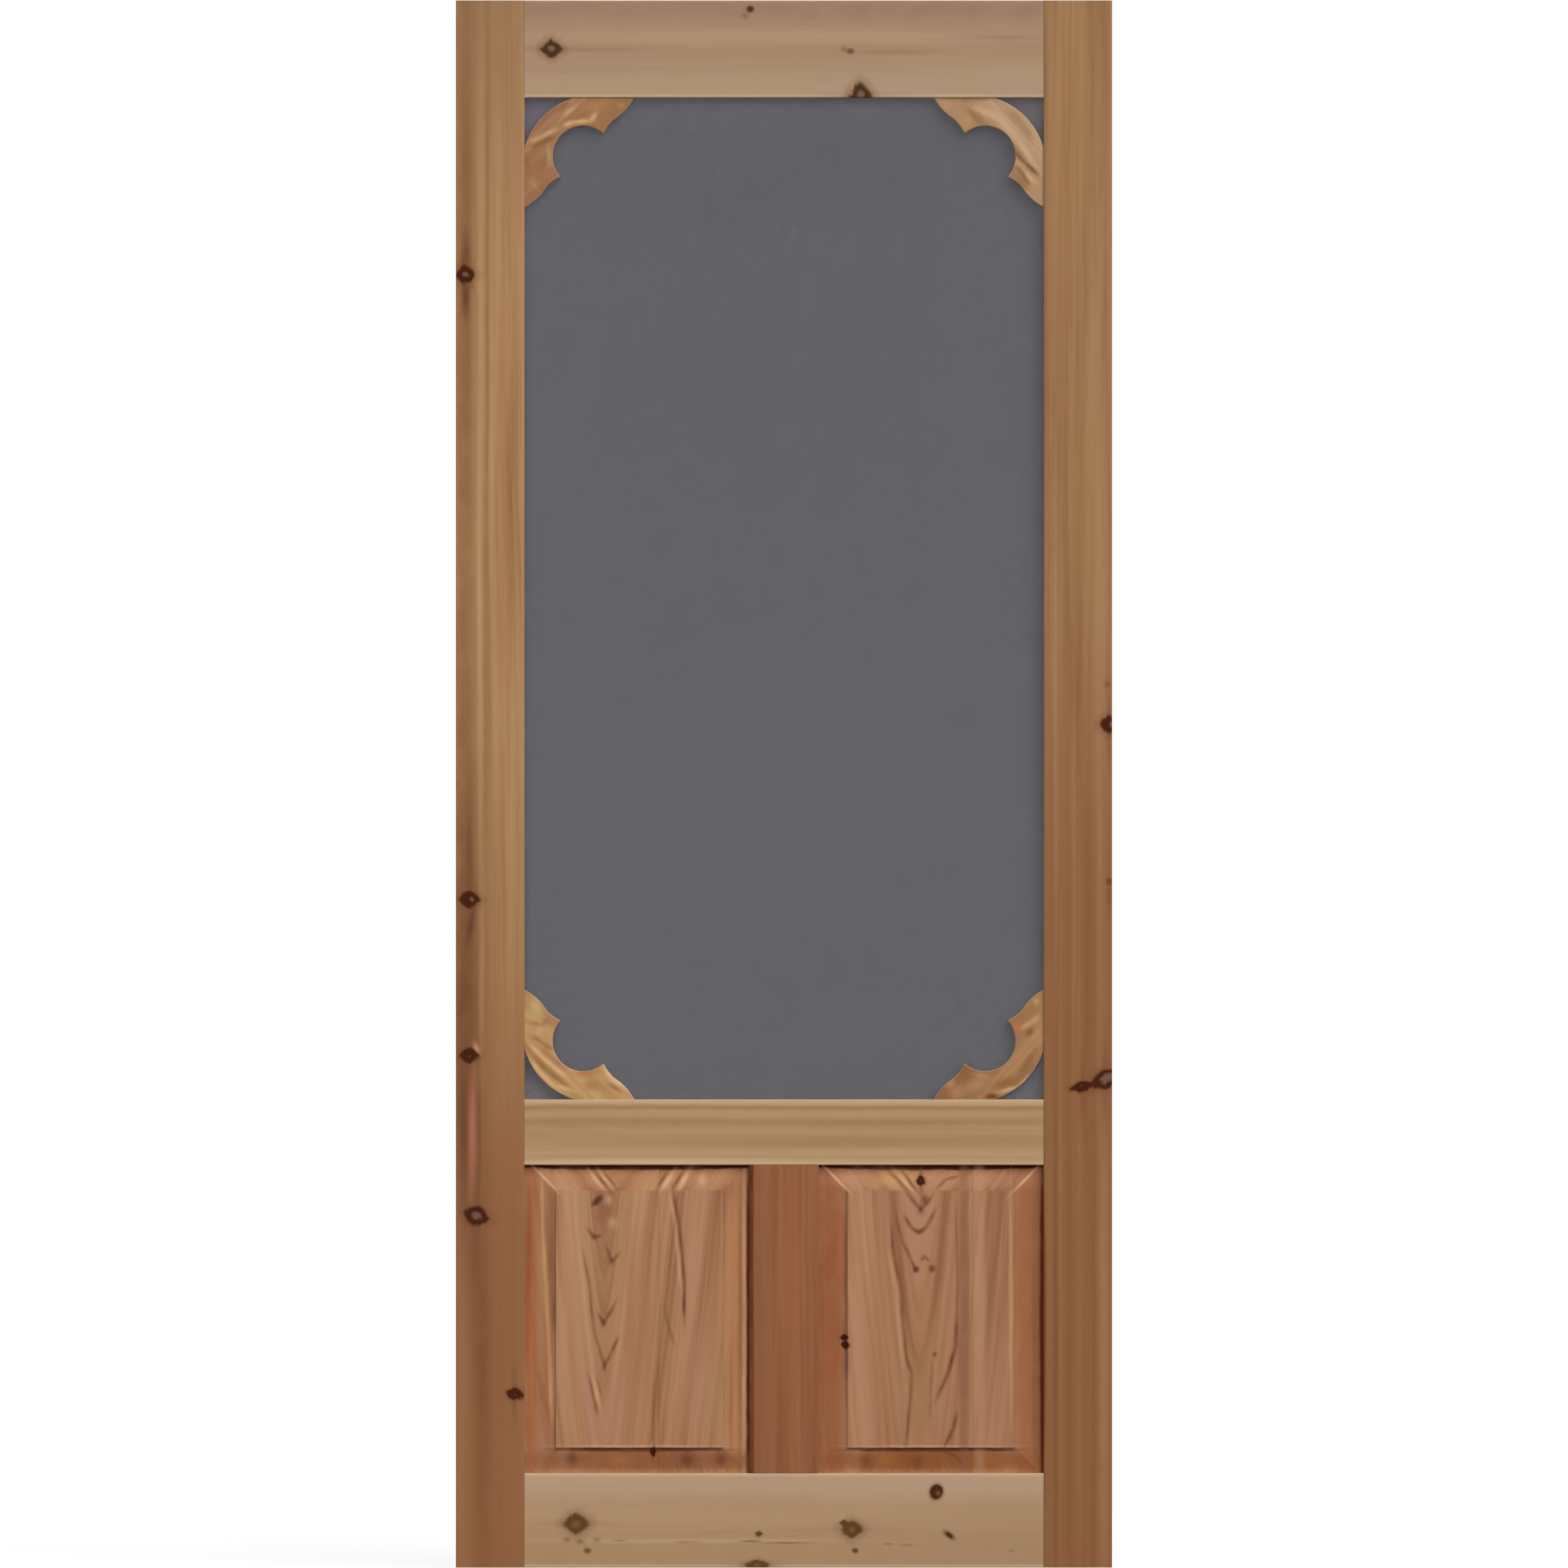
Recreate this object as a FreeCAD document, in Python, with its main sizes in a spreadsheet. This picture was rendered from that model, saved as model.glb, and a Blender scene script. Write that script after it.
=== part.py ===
# Wooden screen door leaf: mortised stiles and rails, a screened upper opening with four scrolled corner
# brackets, and two raised panels below a middle rail, parted by a mullion.
# +X runs from the hinge edge to the latch edge, +Y from the front to the back, +Z up. The origin is at
# the foot of the hinge edge, halfway through the thickness.
import FreeCAD
import Part
import os

import Sketcher
from FreeCAD import Rotation, Vector

SIZES = (
    # name, millimetres, what it measures
    ("door_width", 850.9, "hinge edge to latch edge"),
    ("door_height", 2032, "foot of the stiles to their top"),
    ("door_thickness", 28.6, "front face to back face"),
    ("stile_width", 88.9, "face of each stile"),
    ("top_rail_height", 126, "face of the top rail"),
    ("middle_rail_height", 85, "face of the middle rail"),
    ("bottom_rail_height", 122.5, "face of the bottom rail"),
    ("panel_opening_height", 399.5, "bottom rail to middle rail"),
    ("mullion_width", 90, "face of the mullion between the panels"),
    ("edge_ease", 1.6, "radius of the sanded arrises of stiles, rails and mullion"),
    ("tenon_thickness", 9.5, "rail tenons, front to back"),
    ("tenon_shoulder", 3, "wood between a groove's floor and the tenon's edge"),
    ("tenon_play", 0.1, "glue space around a tenon"),
    ("tenon_end_gap", 1.5, "space between a tenon's end and the mortise floor"),
    ("mortise_backing", 30, "wood left between a mortise and the stile's outer edge"),
    ("groove_width", 6.4, "panel groove, front to back"),
    ("groove_depth", 12, "panel groove, into the edge"),
    ("panel_thickness", 25.4, "raised panel over its two fields"),
    ("panel_play", 0.15, "between the panel's tongue and each side of the groove"),
    ("panel_edge_gap", 5, "room for the panel to swell, tongue to groove floor"),
    ("panel_bevel_width", 28.5, "sloped border around the field"),
    ("panel_step", 3, "square shoulder from the field down to the bevel"),
    ("panel_side_flat", 9, "flat margin that shows outside the bevel, beside stile and mullion"),
    ("panel_end_flat", 4.5, "flat margin that shows outside the bevel, above and below"),
    ("left_panel_drift", 3.5, "how far the floating left panel has crept towards the mullion"),
    ("rabbet_width", 12.7, "back rabbet round the screen opening, across the face"),
    ("screen_thickness", 0.6, "woven screen cloth"),
    ("stop_thickness", 9, "wooden stops that hold the screen in the rabbet"),
    ("stop_play", 0.3, "stops and screen to the rabbet's edge"),
    ("stop_ease", 3, "rounded back arrises of the stops"),
    ("bracket_thickness", 15.9, "scrolled corner bracket, front to back"),
    ("bracket_screen_gap", 0.2, "bracket's back face to the screen"),
    ("bracket_reach", 142, "corner of the opening to the bracket's foot tip"),
    ("bracket_back_start", 65, "corner of the opening to where the bracket starts to bear"),
    ("bracket_back_bulge", 11.7, "rise of the bracket's rounded back over its chord"),
    ("bracket_waist", 33.6, "band between the rounded back and the scallop, on the diagonal"),
    ("bracket_foot_length", 25, "foot tip to shoulder, along the frame"),
    ("bracket_foot_height", 27.4, "shoulder above the frame"),
    ("bracket_foot_bulge", 2.6, "rise of the foot's round over its chord"),
    ("bracket_horn_length", 14.4, "shoulder to the scallop's horn, along the frame"),
    ("bracket_horn_height", 46.8, "horn above the frame"),
    ("bracket_horn_hollow", 1.5, "dip of the horn's outer side below its chord"),
    ("bracket_tip_round", 1.5, "blunting of the horns and shoulders"),
    ("bracket_ease", 0.8, "chamfer along the brackets' curved arrises"),
)

FRONT = "(-sizes.door_thickness / 2)"
INNER_WIDTH = "(sizes.door_width - 2 * sizes.stile_width)"
LATCH_STILE_LEFT = "(sizes.door_width - sizes.stile_width)"
MIDDLE_RAIL_BOTTOM = "(sizes.bottom_rail_height + sizes.panel_opening_height)"
SCREEN_BOTTOM = f"({MIDDLE_RAIL_BOTTOM} + sizes.middle_rail_height)"
SCREEN_TOP = "(sizes.door_height - sizes.top_rail_height)"
PANEL_OPENING_WIDTH = f"(({INNER_WIDTH} - sizes.mullion_width) / 2)"
MULLION_LEFT = f"(sizes.stile_width + {PANEL_OPENING_WIDTH})"

GROOVE_FRONT = "((sizes.door_thickness - sizes.groove_width) / 2)"
GROOVE_BACK = "((sizes.door_thickness + sizes.groove_width) / 2)"
MORTISE_FRONT = "((sizes.door_thickness - sizes.tenon_thickness) / 2)"
MORTISE_DEPTH = "(sizes.stile_width - sizes.mortise_backing)"
TENON_LENGTH = f"({MORTISE_DEPTH} - sizes.tenon_end_gap)"
TENON_EDGE = "(sizes.groove_depth + sizes.tenon_shoulder)"

RABBET_DEPTH = "(sizes.screen_thickness + sizes.stop_thickness)"
RABBET_FLOOR = f"(sizes.door_thickness - {RABBET_DEPTH})"
STOP_WIDTH = "(sizes.rabbet_width - sizes.stop_play)"

TONGUE_REACH = "(sizes.groove_depth - sizes.panel_edge_gap)"
PANEL_RAISE = "((sizes.panel_thickness - sizes.groove_width) / 2 + sizes.panel_play)"

doc = FreeCAD.newDocument("wooden_screen_door")
sheet = doc.addObject("Spreadsheet::Sheet", "sizes")
for row, (name, millimetres, meaning) in enumerate(SIZES, start=1):
    sheet.set(f"A{row}", name)
    sheet.set(f"B{row}", str(millimetres))
    sheet.set(f"C{row}", meaning)
    sheet.setAlias(f"B{row}", name)
doc.recompute()


def number(formula):
    """What a formula in the sheet's sizes comes to."""
    return float(sheet.evalExpression(formula))


def new_body(label, left, front, bottom, turn=0):
    """A piece whose own corner stands at (left, front, bottom) in the door, turned about the Y axis."""
    body = doc.addObject("PartDesign::Body", label)
    body.Label = label
    body.Placement.Rotation = Rotation(Vector(0, 1, 0), turn)
    for axis, formula in zip("xyz", (left, front, bottom)):
        body.setExpression(f"Placement.Base.{axis}", formula)
    return body


def new_sketch(body, name, plane, lift="0"):
    """An empty sketch on one of the piece's own planes, lifted along that plane's normal."""
    sketch = body.newObject("Sketcher::SketchObject", f"{body.Label}_{name}")
    origin_plane = next(feature for feature in body.Origin.OriginFeatures if feature.Role == plane)
    sketch.AttachmentSupport = [(origin_plane, "")]
    sketch.MapMode = "FlatFace"
    sketch.setExpression("AttachmentOffset.Base.z", lift)
    return sketch


def hold(sketch, kind, where, formula):
    """A dimension that follows a formula in the sheet's sizes."""
    index = sketch.addConstraint(Sketcher.Constraint(kind, *where, number(formula)))
    sketch.setExpression(f"Constraints[{index}]", formula)


def draw_outline(sketch, corners, arcs=None):
    """A closed outline through corners, each a pair of formulas, with arcs in place of some of its lines.

    arcs maps the number of a side to the formula of its rise over the chord: positive to the right of the
    way from corner to corner, negative to the left.
    """
    first = sketch.GeometryCount
    points = [Vector(number(across), number(up), 0) for across, up in corners]
    followers = points[1:] + points[:1]
    ends = {}
    for side, (start, finish) in enumerate(zip(points, followers)):
        rise = number(arcs[side]) if arcs and side in arcs else 0
        if not rise:
            sketch.addGeometry(Part.LineSegment(start, finish), False)
            ends[side] = (1, 2)
            continue
        chord = finish - start
        crown = (start + finish) / 2 + Vector(chord.y, -chord.x, 0).normalize() * rise
        sketch.addGeometry(Part.Arc(start, crown, finish), False)
        # an arc's own ends run anticlockwise, so one that turns the other way is held the other way round
        ends[side] = (1, 2) if rise > 0 else (2, 1)
    for side in range(len(points)):
        after = (side + 1) % len(points)
        joined = (first + side, ends[side][1], first + after, ends[after][0])
        sketch.addConstraint(Sketcher.Constraint("Coincident", *joined))
    for side, (across, up) in enumerate(corners):
        corner = (-1, 1, first + side, ends[side][0])
        hold(sketch, "DistanceX", corner, across)
        hold(sketch, "DistanceY", corner, up)
    for side, rise in (arcs or {}).items():
        (x1, y1), (x2, y2) = corners[side], corners[(side + 1) % len(corners)]
        half_chord_squared = f"((({x2}) - ({x1}))^2 + (({y2}) - ({y1}))^2) / 4"
        hold(sketch, "Radius", (first + side,), f"abs(({half_chord_squared} + ({rise})^2) / (2 * ({rise})))")


def rectangle(left, bottom, width, height):
    """The four corners of a rectangle, as formulas."""
    right = f"({left} + {width})"
    top = f"({bottom} + {height})"
    return ((left, bottom), (right, bottom), (right, top), (left, top))


def pad(body, name, sketch, length, reverse=False):
    feature = body.newObject("PartDesign::Pad", f"{body.Label}_{name}")
    feature.Profile = sketch
    feature.setExpression("Length", length)
    feature.Reversed = reverse
    doc.recompute()
    return feature


def pocket(body, name, sketch, depth, reverse=False):
    """Cuts the sketch into the piece and makes sure that wood came away."""
    before = body.Shape.Volume
    feature = body.newObject("PartDesign::Pocket", f"{body.Label}_{name}")
    feature.Profile = sketch
    feature.setExpression("Length", depth)
    feature.Reversed = reverse
    doc.recompute()
    if body.Shape.Volume >= before:
        raise RuntimeError(f"{feature.Name} cuts nothing")
    return feature


def dress_edges(body, name, kind, size, chosen):
    """Fillets or chamfers the edges for which chosen(edge) is true."""
    base = body.Tip
    edges = [f"Edge{index}" for index, edge in enumerate(base.Shape.Edges, start=1) if chosen(edge)]
    feature = body.newObject(f"PartDesign::{kind}", f"{body.Label}_{name}")
    feature.Base = (base, edges)
    feature.setExpression("Radius" if kind == "Fillet" else "Size", size)
    doc.recompute()
    return feature


def runs_along(edge, direction):
    if not isinstance(edge.Curve, Part.Line):
        return False
    return abs(edge.Curve.Direction.dot(direction)) > 0.999


def at(value, formula):
    return abs(value - number(formula)) < 1e-4


def ease_board(body, grain):
    """Sands the long arrises on a board's front and back faces."""
    def arris(edge):
        depth = edge.CenterOfMass.y
        return runs_along(edge, grain) and (at(depth, "0") or at(depth, "sizes.door_thickness"))
    dress_edges(body, "eased", "Fillet", "sizes.edge_ease", arris)


def make_stile(label, left, inner_edge, cut_to_right):
    """A full-height board, mortised for the three rails, grooved for a panel and rabbeted for the screen."""
    body = new_body(label, left, FRONT, "0")
    section = new_sketch(body, "section", "XY_Plane")
    draw_outline(section, rectangle("0", "0", "sizes.stile_width", "sizes.door_thickness"))
    pad(body, "board", section, "sizes.door_height")
    ease_board(body, Vector(0, 0, 1))

    def cut(name, depth, rectangles):
        sketch = new_sketch(body, f"{name}_outline", "YZ_Plane", inner_edge)
        for corners in rectangles:
            draw_outline(sketch, corners)
        pocket(body, name, sketch, depth, reverse=cut_to_right)

    rails = (
        ("0", "sizes.bottom_rail_height"),
        (MIDDLE_RAIL_BOTTOM, "sizes.middle_rail_height"),
        (SCREEN_TOP, "sizes.top_rail_height"),
    )
    cut("mortises", MORTISE_DEPTH, [
        rectangle(MORTISE_FRONT, f"({bottom} + {TENON_EDGE})",
                  "sizes.tenon_thickness", f"({height} - 2 * {TENON_EDGE})")
        for bottom, height in rails
    ])
    cut("panel_groove", "sizes.groove_depth", [
        rectangle(GROOVE_FRONT, "(sizes.bottom_rail_height - sizes.groove_depth)",
                  "sizes.groove_width", "(sizes.panel_opening_height + 2 * sizes.groove_depth)")
    ])
    cut("screen_rabbet", "sizes.rabbet_width", [
        rectangle(RABBET_FLOOR, f"({SCREEN_BOTTOM} - sizes.rabbet_width)",
                  RABBET_DEPTH, f"({SCREEN_TOP} - {SCREEN_BOTTOM} + 2 * sizes.rabbet_width)")
    ])
    return body


def make_rail(label, bottom, height, section):
    """A board run to its section from stile to stile, with a tenon at each end."""
    body = new_body(label, "sizes.stile_width", FRONT, bottom)
    profile = new_sketch(body, "section", "YZ_Plane")
    draw_outline(profile, section)
    pad(body, "board", profile, INNER_WIDTH)
    ease_board(body, Vector(1, 0, 0))
    tenon = new_sketch(body, "tenon_section", "YZ_Plane", f"-{TENON_LENGTH}")
    draw_outline(tenon, rectangle(
        f"({MORTISE_FRONT} + sizes.tenon_play)", f"({TENON_EDGE} + sizes.tenon_play)",
        "(sizes.tenon_thickness - 2 * sizes.tenon_play)",
        f"({height} - 2 * {TENON_EDGE} - 2 * sizes.tenon_play)"))
    pad(body, "tenons", tenon, f"{INNER_WIDTH} + 2 * {TENON_LENGTH}")
    return body


def make_top_rail():
    height = "sizes.top_rail_height"
    return make_rail("top_rail", SCREEN_TOP, height, (
        ("0", "0"),
        (RABBET_FLOOR, "0"),
        (RABBET_FLOOR, "sizes.rabbet_width"),
        ("sizes.door_thickness", "sizes.rabbet_width"),
        ("sizes.door_thickness", height),
        ("0", height),
    ))


def make_middle_rail():
    height = "sizes.middle_rail_height"
    rabbet_ledge = f"({height} - sizes.rabbet_width)"
    return make_rail("middle_rail", MIDDLE_RAIL_BOTTOM, height, (
        ("0", "0"),
        (GROOVE_FRONT, "0"),
        (GROOVE_FRONT, "sizes.groove_depth"),
        (GROOVE_BACK, "sizes.groove_depth"),
        (GROOVE_BACK, "0"),
        ("sizes.door_thickness", "0"),
        ("sizes.door_thickness", rabbet_ledge),
        (RABBET_FLOOR, rabbet_ledge),
        (RABBET_FLOOR, height),
        ("0", height),
    ))


def make_bottom_rail():
    height = "sizes.bottom_rail_height"
    groove_floor = f"({height} - sizes.groove_depth)"
    return make_rail("bottom_rail", "0", height, (
        ("0", "0"),
        ("sizes.door_thickness", "0"),
        ("sizes.door_thickness", height),
        (GROOVE_BACK, height),
        (GROOVE_BACK, groove_floor),
        (GROOVE_FRONT, groove_floor),
        (GROOVE_FRONT, height),
        ("0", height),
    ))


def make_mullion():
    """The short upright between the panels, grooved on both edges, with stub tenons in the rails' grooves."""
    body = new_body("mullion", MULLION_LEFT, FRONT, "sizes.bottom_rail_height")
    width = "sizes.mullion_width"
    left_groove_floor = "sizes.groove_depth"
    right_groove_floor = f"({width} - sizes.groove_depth)"
    section = new_sketch(body, "section", "XY_Plane")
    draw_outline(section, (
        ("0", "0"),
        (width, "0"),
        (width, GROOVE_FRONT),
        (right_groove_floor, GROOVE_FRONT),
        (right_groove_floor, GROOVE_BACK),
        (width, GROOVE_BACK),
        (width, "sizes.door_thickness"),
        ("0", "sizes.door_thickness"),
        ("0", GROOVE_BACK),
        (left_groove_floor, GROOVE_BACK),
        (left_groove_floor, GROOVE_FRONT),
        ("0", GROOVE_FRONT),
    ))
    pad(body, "board", section, "sizes.panel_opening_height")
    ease_board(body, Vector(0, 0, 1))
    stub_length = "(sizes.groove_depth - sizes.tenon_end_gap)"
    stub = new_sketch(body, "stub_section", "XY_Plane", f"-{stub_length}")
    draw_outline(stub, rectangle(
        left_groove_floor, f"({GROOVE_FRONT} + sizes.tenon_play)",
        f"({width} - 2 * sizes.groove_depth)", "(sizes.groove_width - 2 * sizes.tenon_play)"))
    pad(body, "stub_tenons", stub, f"sizes.panel_opening_height + 2 * {stub_length}")
    return body


def raising_cut(width, margin):
    """The wood that raising takes off both edges and both faces across a panel of that width.

    margin is the flat that is left outside the bevel, tongue included.
    """
    field = f"({margin} + sizes.panel_bevel_width)"
    back = "sizes.panel_thickness"
    profile = (
        ("0", "0"),
        (field, "0"),
        (field, "sizes.panel_step"),
        (margin, PANEL_RAISE),
        ("0", PANEL_RAISE),
    )
    far_edge = [(f"({width} - {across})", depth) for across, depth in profile]
    near_back = [(across, f"({back} - {depth})") for across, depth in profile]
    far_back = [(across, f"({back} - {depth})") for across, depth in far_edge]
    return profile, far_edge, near_back, far_back


def make_panel(label, opening_left, drift):
    """A panel raised on both faces, whose tongue floats in the grooves around its opening."""
    width = f"({PANEL_OPENING_WIDTH} + 2 * {TONGUE_REACH})"
    height = f"(sizes.panel_opening_height + 2 * {TONGUE_REACH})"
    body = new_body(label, f"{opening_left} - {TONGUE_REACH} + {drift}",
                    "-sizes.panel_thickness / 2", f"sizes.bottom_rail_height - {TONGUE_REACH}")
    blank = new_sketch(body, "blank_outline", "XZ_Plane")
    draw_outline(blank, rectangle("0", "0", width, height))
    pad(body, "blank", blank, "sizes.panel_thickness", reverse=True)
    sides = new_sketch(body, "side_raising", "XY_Plane")
    for outline in raising_cut(width, f"({TONGUE_REACH} + sizes.panel_side_flat)"):
        draw_outline(sides, outline)
    pocket(body, "raised_sides", sides, height, reverse=True)
    ends = new_sketch(body, "end_raising", "YZ_Plane")
    for outline in raising_cut(height, f"({TONGUE_REACH} + sizes.panel_end_flat)"):
        draw_outline(ends, [(depth, up) for up, depth in outline])
    pocket(body, "raised_ends", ends, width, reverse=True)
    return body


def make_bracket(label, corner_x, corner_z, turn):
    """A scrolled bracket, alike about the diagonal of the corner that it sits in."""
    shoulder = "(sizes.bracket_reach - sizes.bracket_foot_length)"
    horn = f"({shoulder} - sizes.bracket_horn_length)"
    scallop_chord = f"(sqrt(2) * ({horn} - sizes.bracket_horn_height))"
    back_crown = "(sizes.bracket_back_start / sqrt(2) - sizes.bracket_back_bulge)"
    scallop_depth = f"(({horn} + sizes.bracket_horn_height) / sqrt(2) - {back_crown} - sizes.bracket_waist)"
    body = new_body(label, corner_x, f"{FRONT} + {RABBET_FLOOR} - sizes.bracket_screen_gap", corner_z, turn)
    outline = new_sketch(body, "outline", "XZ_Plane")
    corners = (
        ("sizes.bracket_back_start", "0"),
        ("sizes.bracket_reach", "0"),
        (shoulder, "sizes.bracket_foot_height"),
        (horn, "sizes.bracket_horn_height"),
        ("sizes.bracket_horn_height", horn),
        ("sizes.bracket_foot_height", shoulder),
        ("0", "sizes.bracket_reach"),
        ("0", "sizes.bracket_back_start"),
    )
    draw_outline(outline, corners, arcs={
        1: "sizes.bracket_foot_bulge",
        2: "-sizes.bracket_horn_hollow",
        3: f"-{scallop_depth}",
        4: "-sizes.bracket_horn_hollow",
        5: "sizes.bracket_foot_bulge",
        7: "sizes.bracket_back_bulge",
    })
    pad(body, "scroll", outline, "sizes.bracket_thickness")

    def tip(edge):
        clear_of_frame = min(edge.CenterOfMass.x, edge.CenterOfMass.z)
        return runs_along(edge, Vector(0, 1, 0)) and not at(clear_of_frame, "0")

    def curved(edge):
        return isinstance(edge.Curve, Part.Circle)

    dress_edges(body, "blunted", "Fillet", "sizes.bracket_tip_round", tip)
    dress_edges(body, "eased", "Chamfer", "sizes.bracket_ease", curved)
    return body


def make_screen():
    """The cloth, stretched across the opening and into the rabbet behind it."""
    body = new_body("screen_cloth", f"sizes.stile_width - {STOP_WIDTH}",
                    f"{FRONT} + {RABBET_FLOOR}", f"{SCREEN_BOTTOM} - {STOP_WIDTH}")
    outline = new_sketch(body, "outline", "XZ_Plane")
    draw_outline(outline, rectangle("0", "0", f"({INNER_WIDTH} + 2 * {STOP_WIDTH})",
                                    f"({SCREEN_TOP} - {SCREEN_BOTTOM} + 2 * {STOP_WIDTH})"))
    pad(body, "cloth", outline, "sizes.screen_thickness", reverse=True)
    return body


def make_stop(label, corner_x, corner_z, length, turn):
    """A strip with mitred ends and rounded back arrises that closes one side of the rabbet."""
    body = new_body(label, corner_x, f"{FRONT} + {RABBET_FLOOR} + sizes.screen_thickness", corner_z, turn)
    outline = new_sketch(body, "outline", "XZ_Plane")
    draw_outline(outline, (
        ("0", "0"),
        (length, "0"),
        (f"({length} - {STOP_WIDTH})", STOP_WIDTH),
        (STOP_WIDTH, STOP_WIDTH),
    ))
    pad(body, "strip", outline, "sizes.stop_thickness", reverse=True)

    def back_arris(edge):
        return runs_along(edge, Vector(1, 0, 0)) and at(edge.CenterOfMass.y, "sizes.stop_thickness")

    dress_edges(body, "rounded", "Fillet", "sizes.stop_ease", back_arris)
    return body


pieces = [
    make_stile("hinge_stile", "0", "sizes.stile_width", cut_to_right=False),
    make_stile("latch_stile", LATCH_STILE_LEFT, "0", cut_to_right=True),
    make_top_rail(),
    make_middle_rail(),
    make_bottom_rail(),
    make_mullion(),
    make_panel("left_panel", "sizes.stile_width", "sizes.left_panel_drift"),
    make_panel("right_panel", f"{MULLION_LEFT} + sizes.mullion_width", "0"),
    make_screen(),
]

# Going round the opening from its lower left corner, each bracket and stop is the last one turned a quarter.
LEFT = "sizes.stile_width"
RIGHT = LATCH_STILE_LEFT
SCREEN_HEIGHT = f"({SCREEN_TOP} - {SCREEN_BOTTOM})"
CORNERS = (
    # bracket, stop that starts at this corner, where the corner is, which way is out, the stop's opening
    ("bottom_left_bracket", "bottom_screen_stop", LEFT, SCREEN_BOTTOM, "-", "-", INNER_WIDTH),
    ("bottom_right_bracket", "right_screen_stop", RIGHT, SCREEN_BOTTOM, "+", "-", SCREEN_HEIGHT),
    ("top_right_bracket", "top_screen_stop", RIGHT, SCREEN_TOP, "+", "+", INNER_WIDTH),
    ("top_left_bracket", "left_screen_stop", LEFT, SCREEN_TOP, "-", "+", SCREEN_HEIGHT),
)
for quarter, (bracket, stop, corner_x, corner_z, out_x, out_z, span) in enumerate(CORNERS):
    turn = -90 * quarter
    pieces.append(make_bracket(bracket, corner_x, corner_z, turn))
    pieces.append(make_stop(stop, f"{corner_x} {out_x} {STOP_WIDTH}", f"{corner_z} {out_z} {STOP_WIDTH}",
                            f"({span} + 2 * {STOP_WIDTH})", turn))

doc.recompute()
for item in doc.Objects:
    if "Invalid" in item.State or "Error" in item.State:
        raise RuntimeError(f"{item.Name} failed: {item.State}")
for piece in pieces:
    if piece.Shape.isNull() or not piece.Shape.isValid() or len(piece.Shape.Solids) != 1:
        raise RuntimeError(f"{piece.Label} is not one valid solid")

os.makedirs("parts", exist_ok=True)
for piece in pieces:
    piece.Shape.exportStep(f"parts/{piece.Label}.step")
    print(f"{piece.Label}: {piece.Shape.Volume / 1000:.1f} cubic centimetres")
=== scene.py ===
# Wooden screen door leaf: cedar finishes for its boards, the woven insect screen, the brads in its stops.
import math
from dataclasses import dataclass, replace

import bpy
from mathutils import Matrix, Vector


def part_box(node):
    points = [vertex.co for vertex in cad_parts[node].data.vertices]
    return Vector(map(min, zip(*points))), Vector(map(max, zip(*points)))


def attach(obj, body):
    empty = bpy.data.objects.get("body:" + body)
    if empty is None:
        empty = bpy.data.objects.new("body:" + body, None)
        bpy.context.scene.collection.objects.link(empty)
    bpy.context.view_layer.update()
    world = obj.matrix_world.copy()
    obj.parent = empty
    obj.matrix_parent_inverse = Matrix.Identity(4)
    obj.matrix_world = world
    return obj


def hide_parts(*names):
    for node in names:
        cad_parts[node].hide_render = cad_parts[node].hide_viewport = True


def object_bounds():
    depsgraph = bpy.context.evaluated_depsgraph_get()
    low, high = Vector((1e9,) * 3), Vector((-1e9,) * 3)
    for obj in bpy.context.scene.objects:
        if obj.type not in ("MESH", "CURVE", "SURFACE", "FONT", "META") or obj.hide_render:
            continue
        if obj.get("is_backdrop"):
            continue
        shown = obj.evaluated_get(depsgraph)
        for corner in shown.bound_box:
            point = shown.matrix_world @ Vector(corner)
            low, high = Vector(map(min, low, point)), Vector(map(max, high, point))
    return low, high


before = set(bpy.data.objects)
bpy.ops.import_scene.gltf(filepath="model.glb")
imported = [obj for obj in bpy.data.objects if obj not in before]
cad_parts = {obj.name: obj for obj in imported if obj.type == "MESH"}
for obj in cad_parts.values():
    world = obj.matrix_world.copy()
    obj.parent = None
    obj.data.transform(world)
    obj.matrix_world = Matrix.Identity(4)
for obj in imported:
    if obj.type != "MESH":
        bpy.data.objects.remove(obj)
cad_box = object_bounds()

MM = 0.001
UP = (0.0, 0.0, 1.0)
RIGHTWARDS = (1.0, 0.0, 0.0)
BACKWARDS = (0.0, 1.0, 0.0)


def paint(red, green, blue):
    """A plain colour, from 0 to 255 as an eye-dropper reads it, turned into the values that shaders take."""
    shares = [part / 255 for part in (red, green, blue)]
    linear = [s / 12.92 if s <= 0.04045 else ((s + 0.055) / 1.055) ** 2.4 for s in shares]
    return (*linear, 1.0)


class Signal:
    """A socket of a finish. Arithmetic on it adds Math nodes."""

    def __init__(self, nodes, socket):
        self.nodes = nodes
        self.socket = socket

    def __add__(self, other):
        return self.nodes.math("ADD", self, other)

    def __radd__(self, other):
        return self.nodes.math("ADD", other, self)

    def __sub__(self, other):
        return self.nodes.math("SUBTRACT", self, other)

    def __rsub__(self, other):
        return self.nodes.math("SUBTRACT", other, self)

    def __mul__(self, other):
        return self.nodes.math("MULTIPLY", self, other)

    def __pow__(self, power):
        return self.nodes.math("POWER", self, power)

    def __abs__(self):
        return self.nodes.math("ABSOLUTE", self)

    def __gt__(self, limit):
        return self.nodes.math("GREATER_THAN", self, limit)


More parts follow.
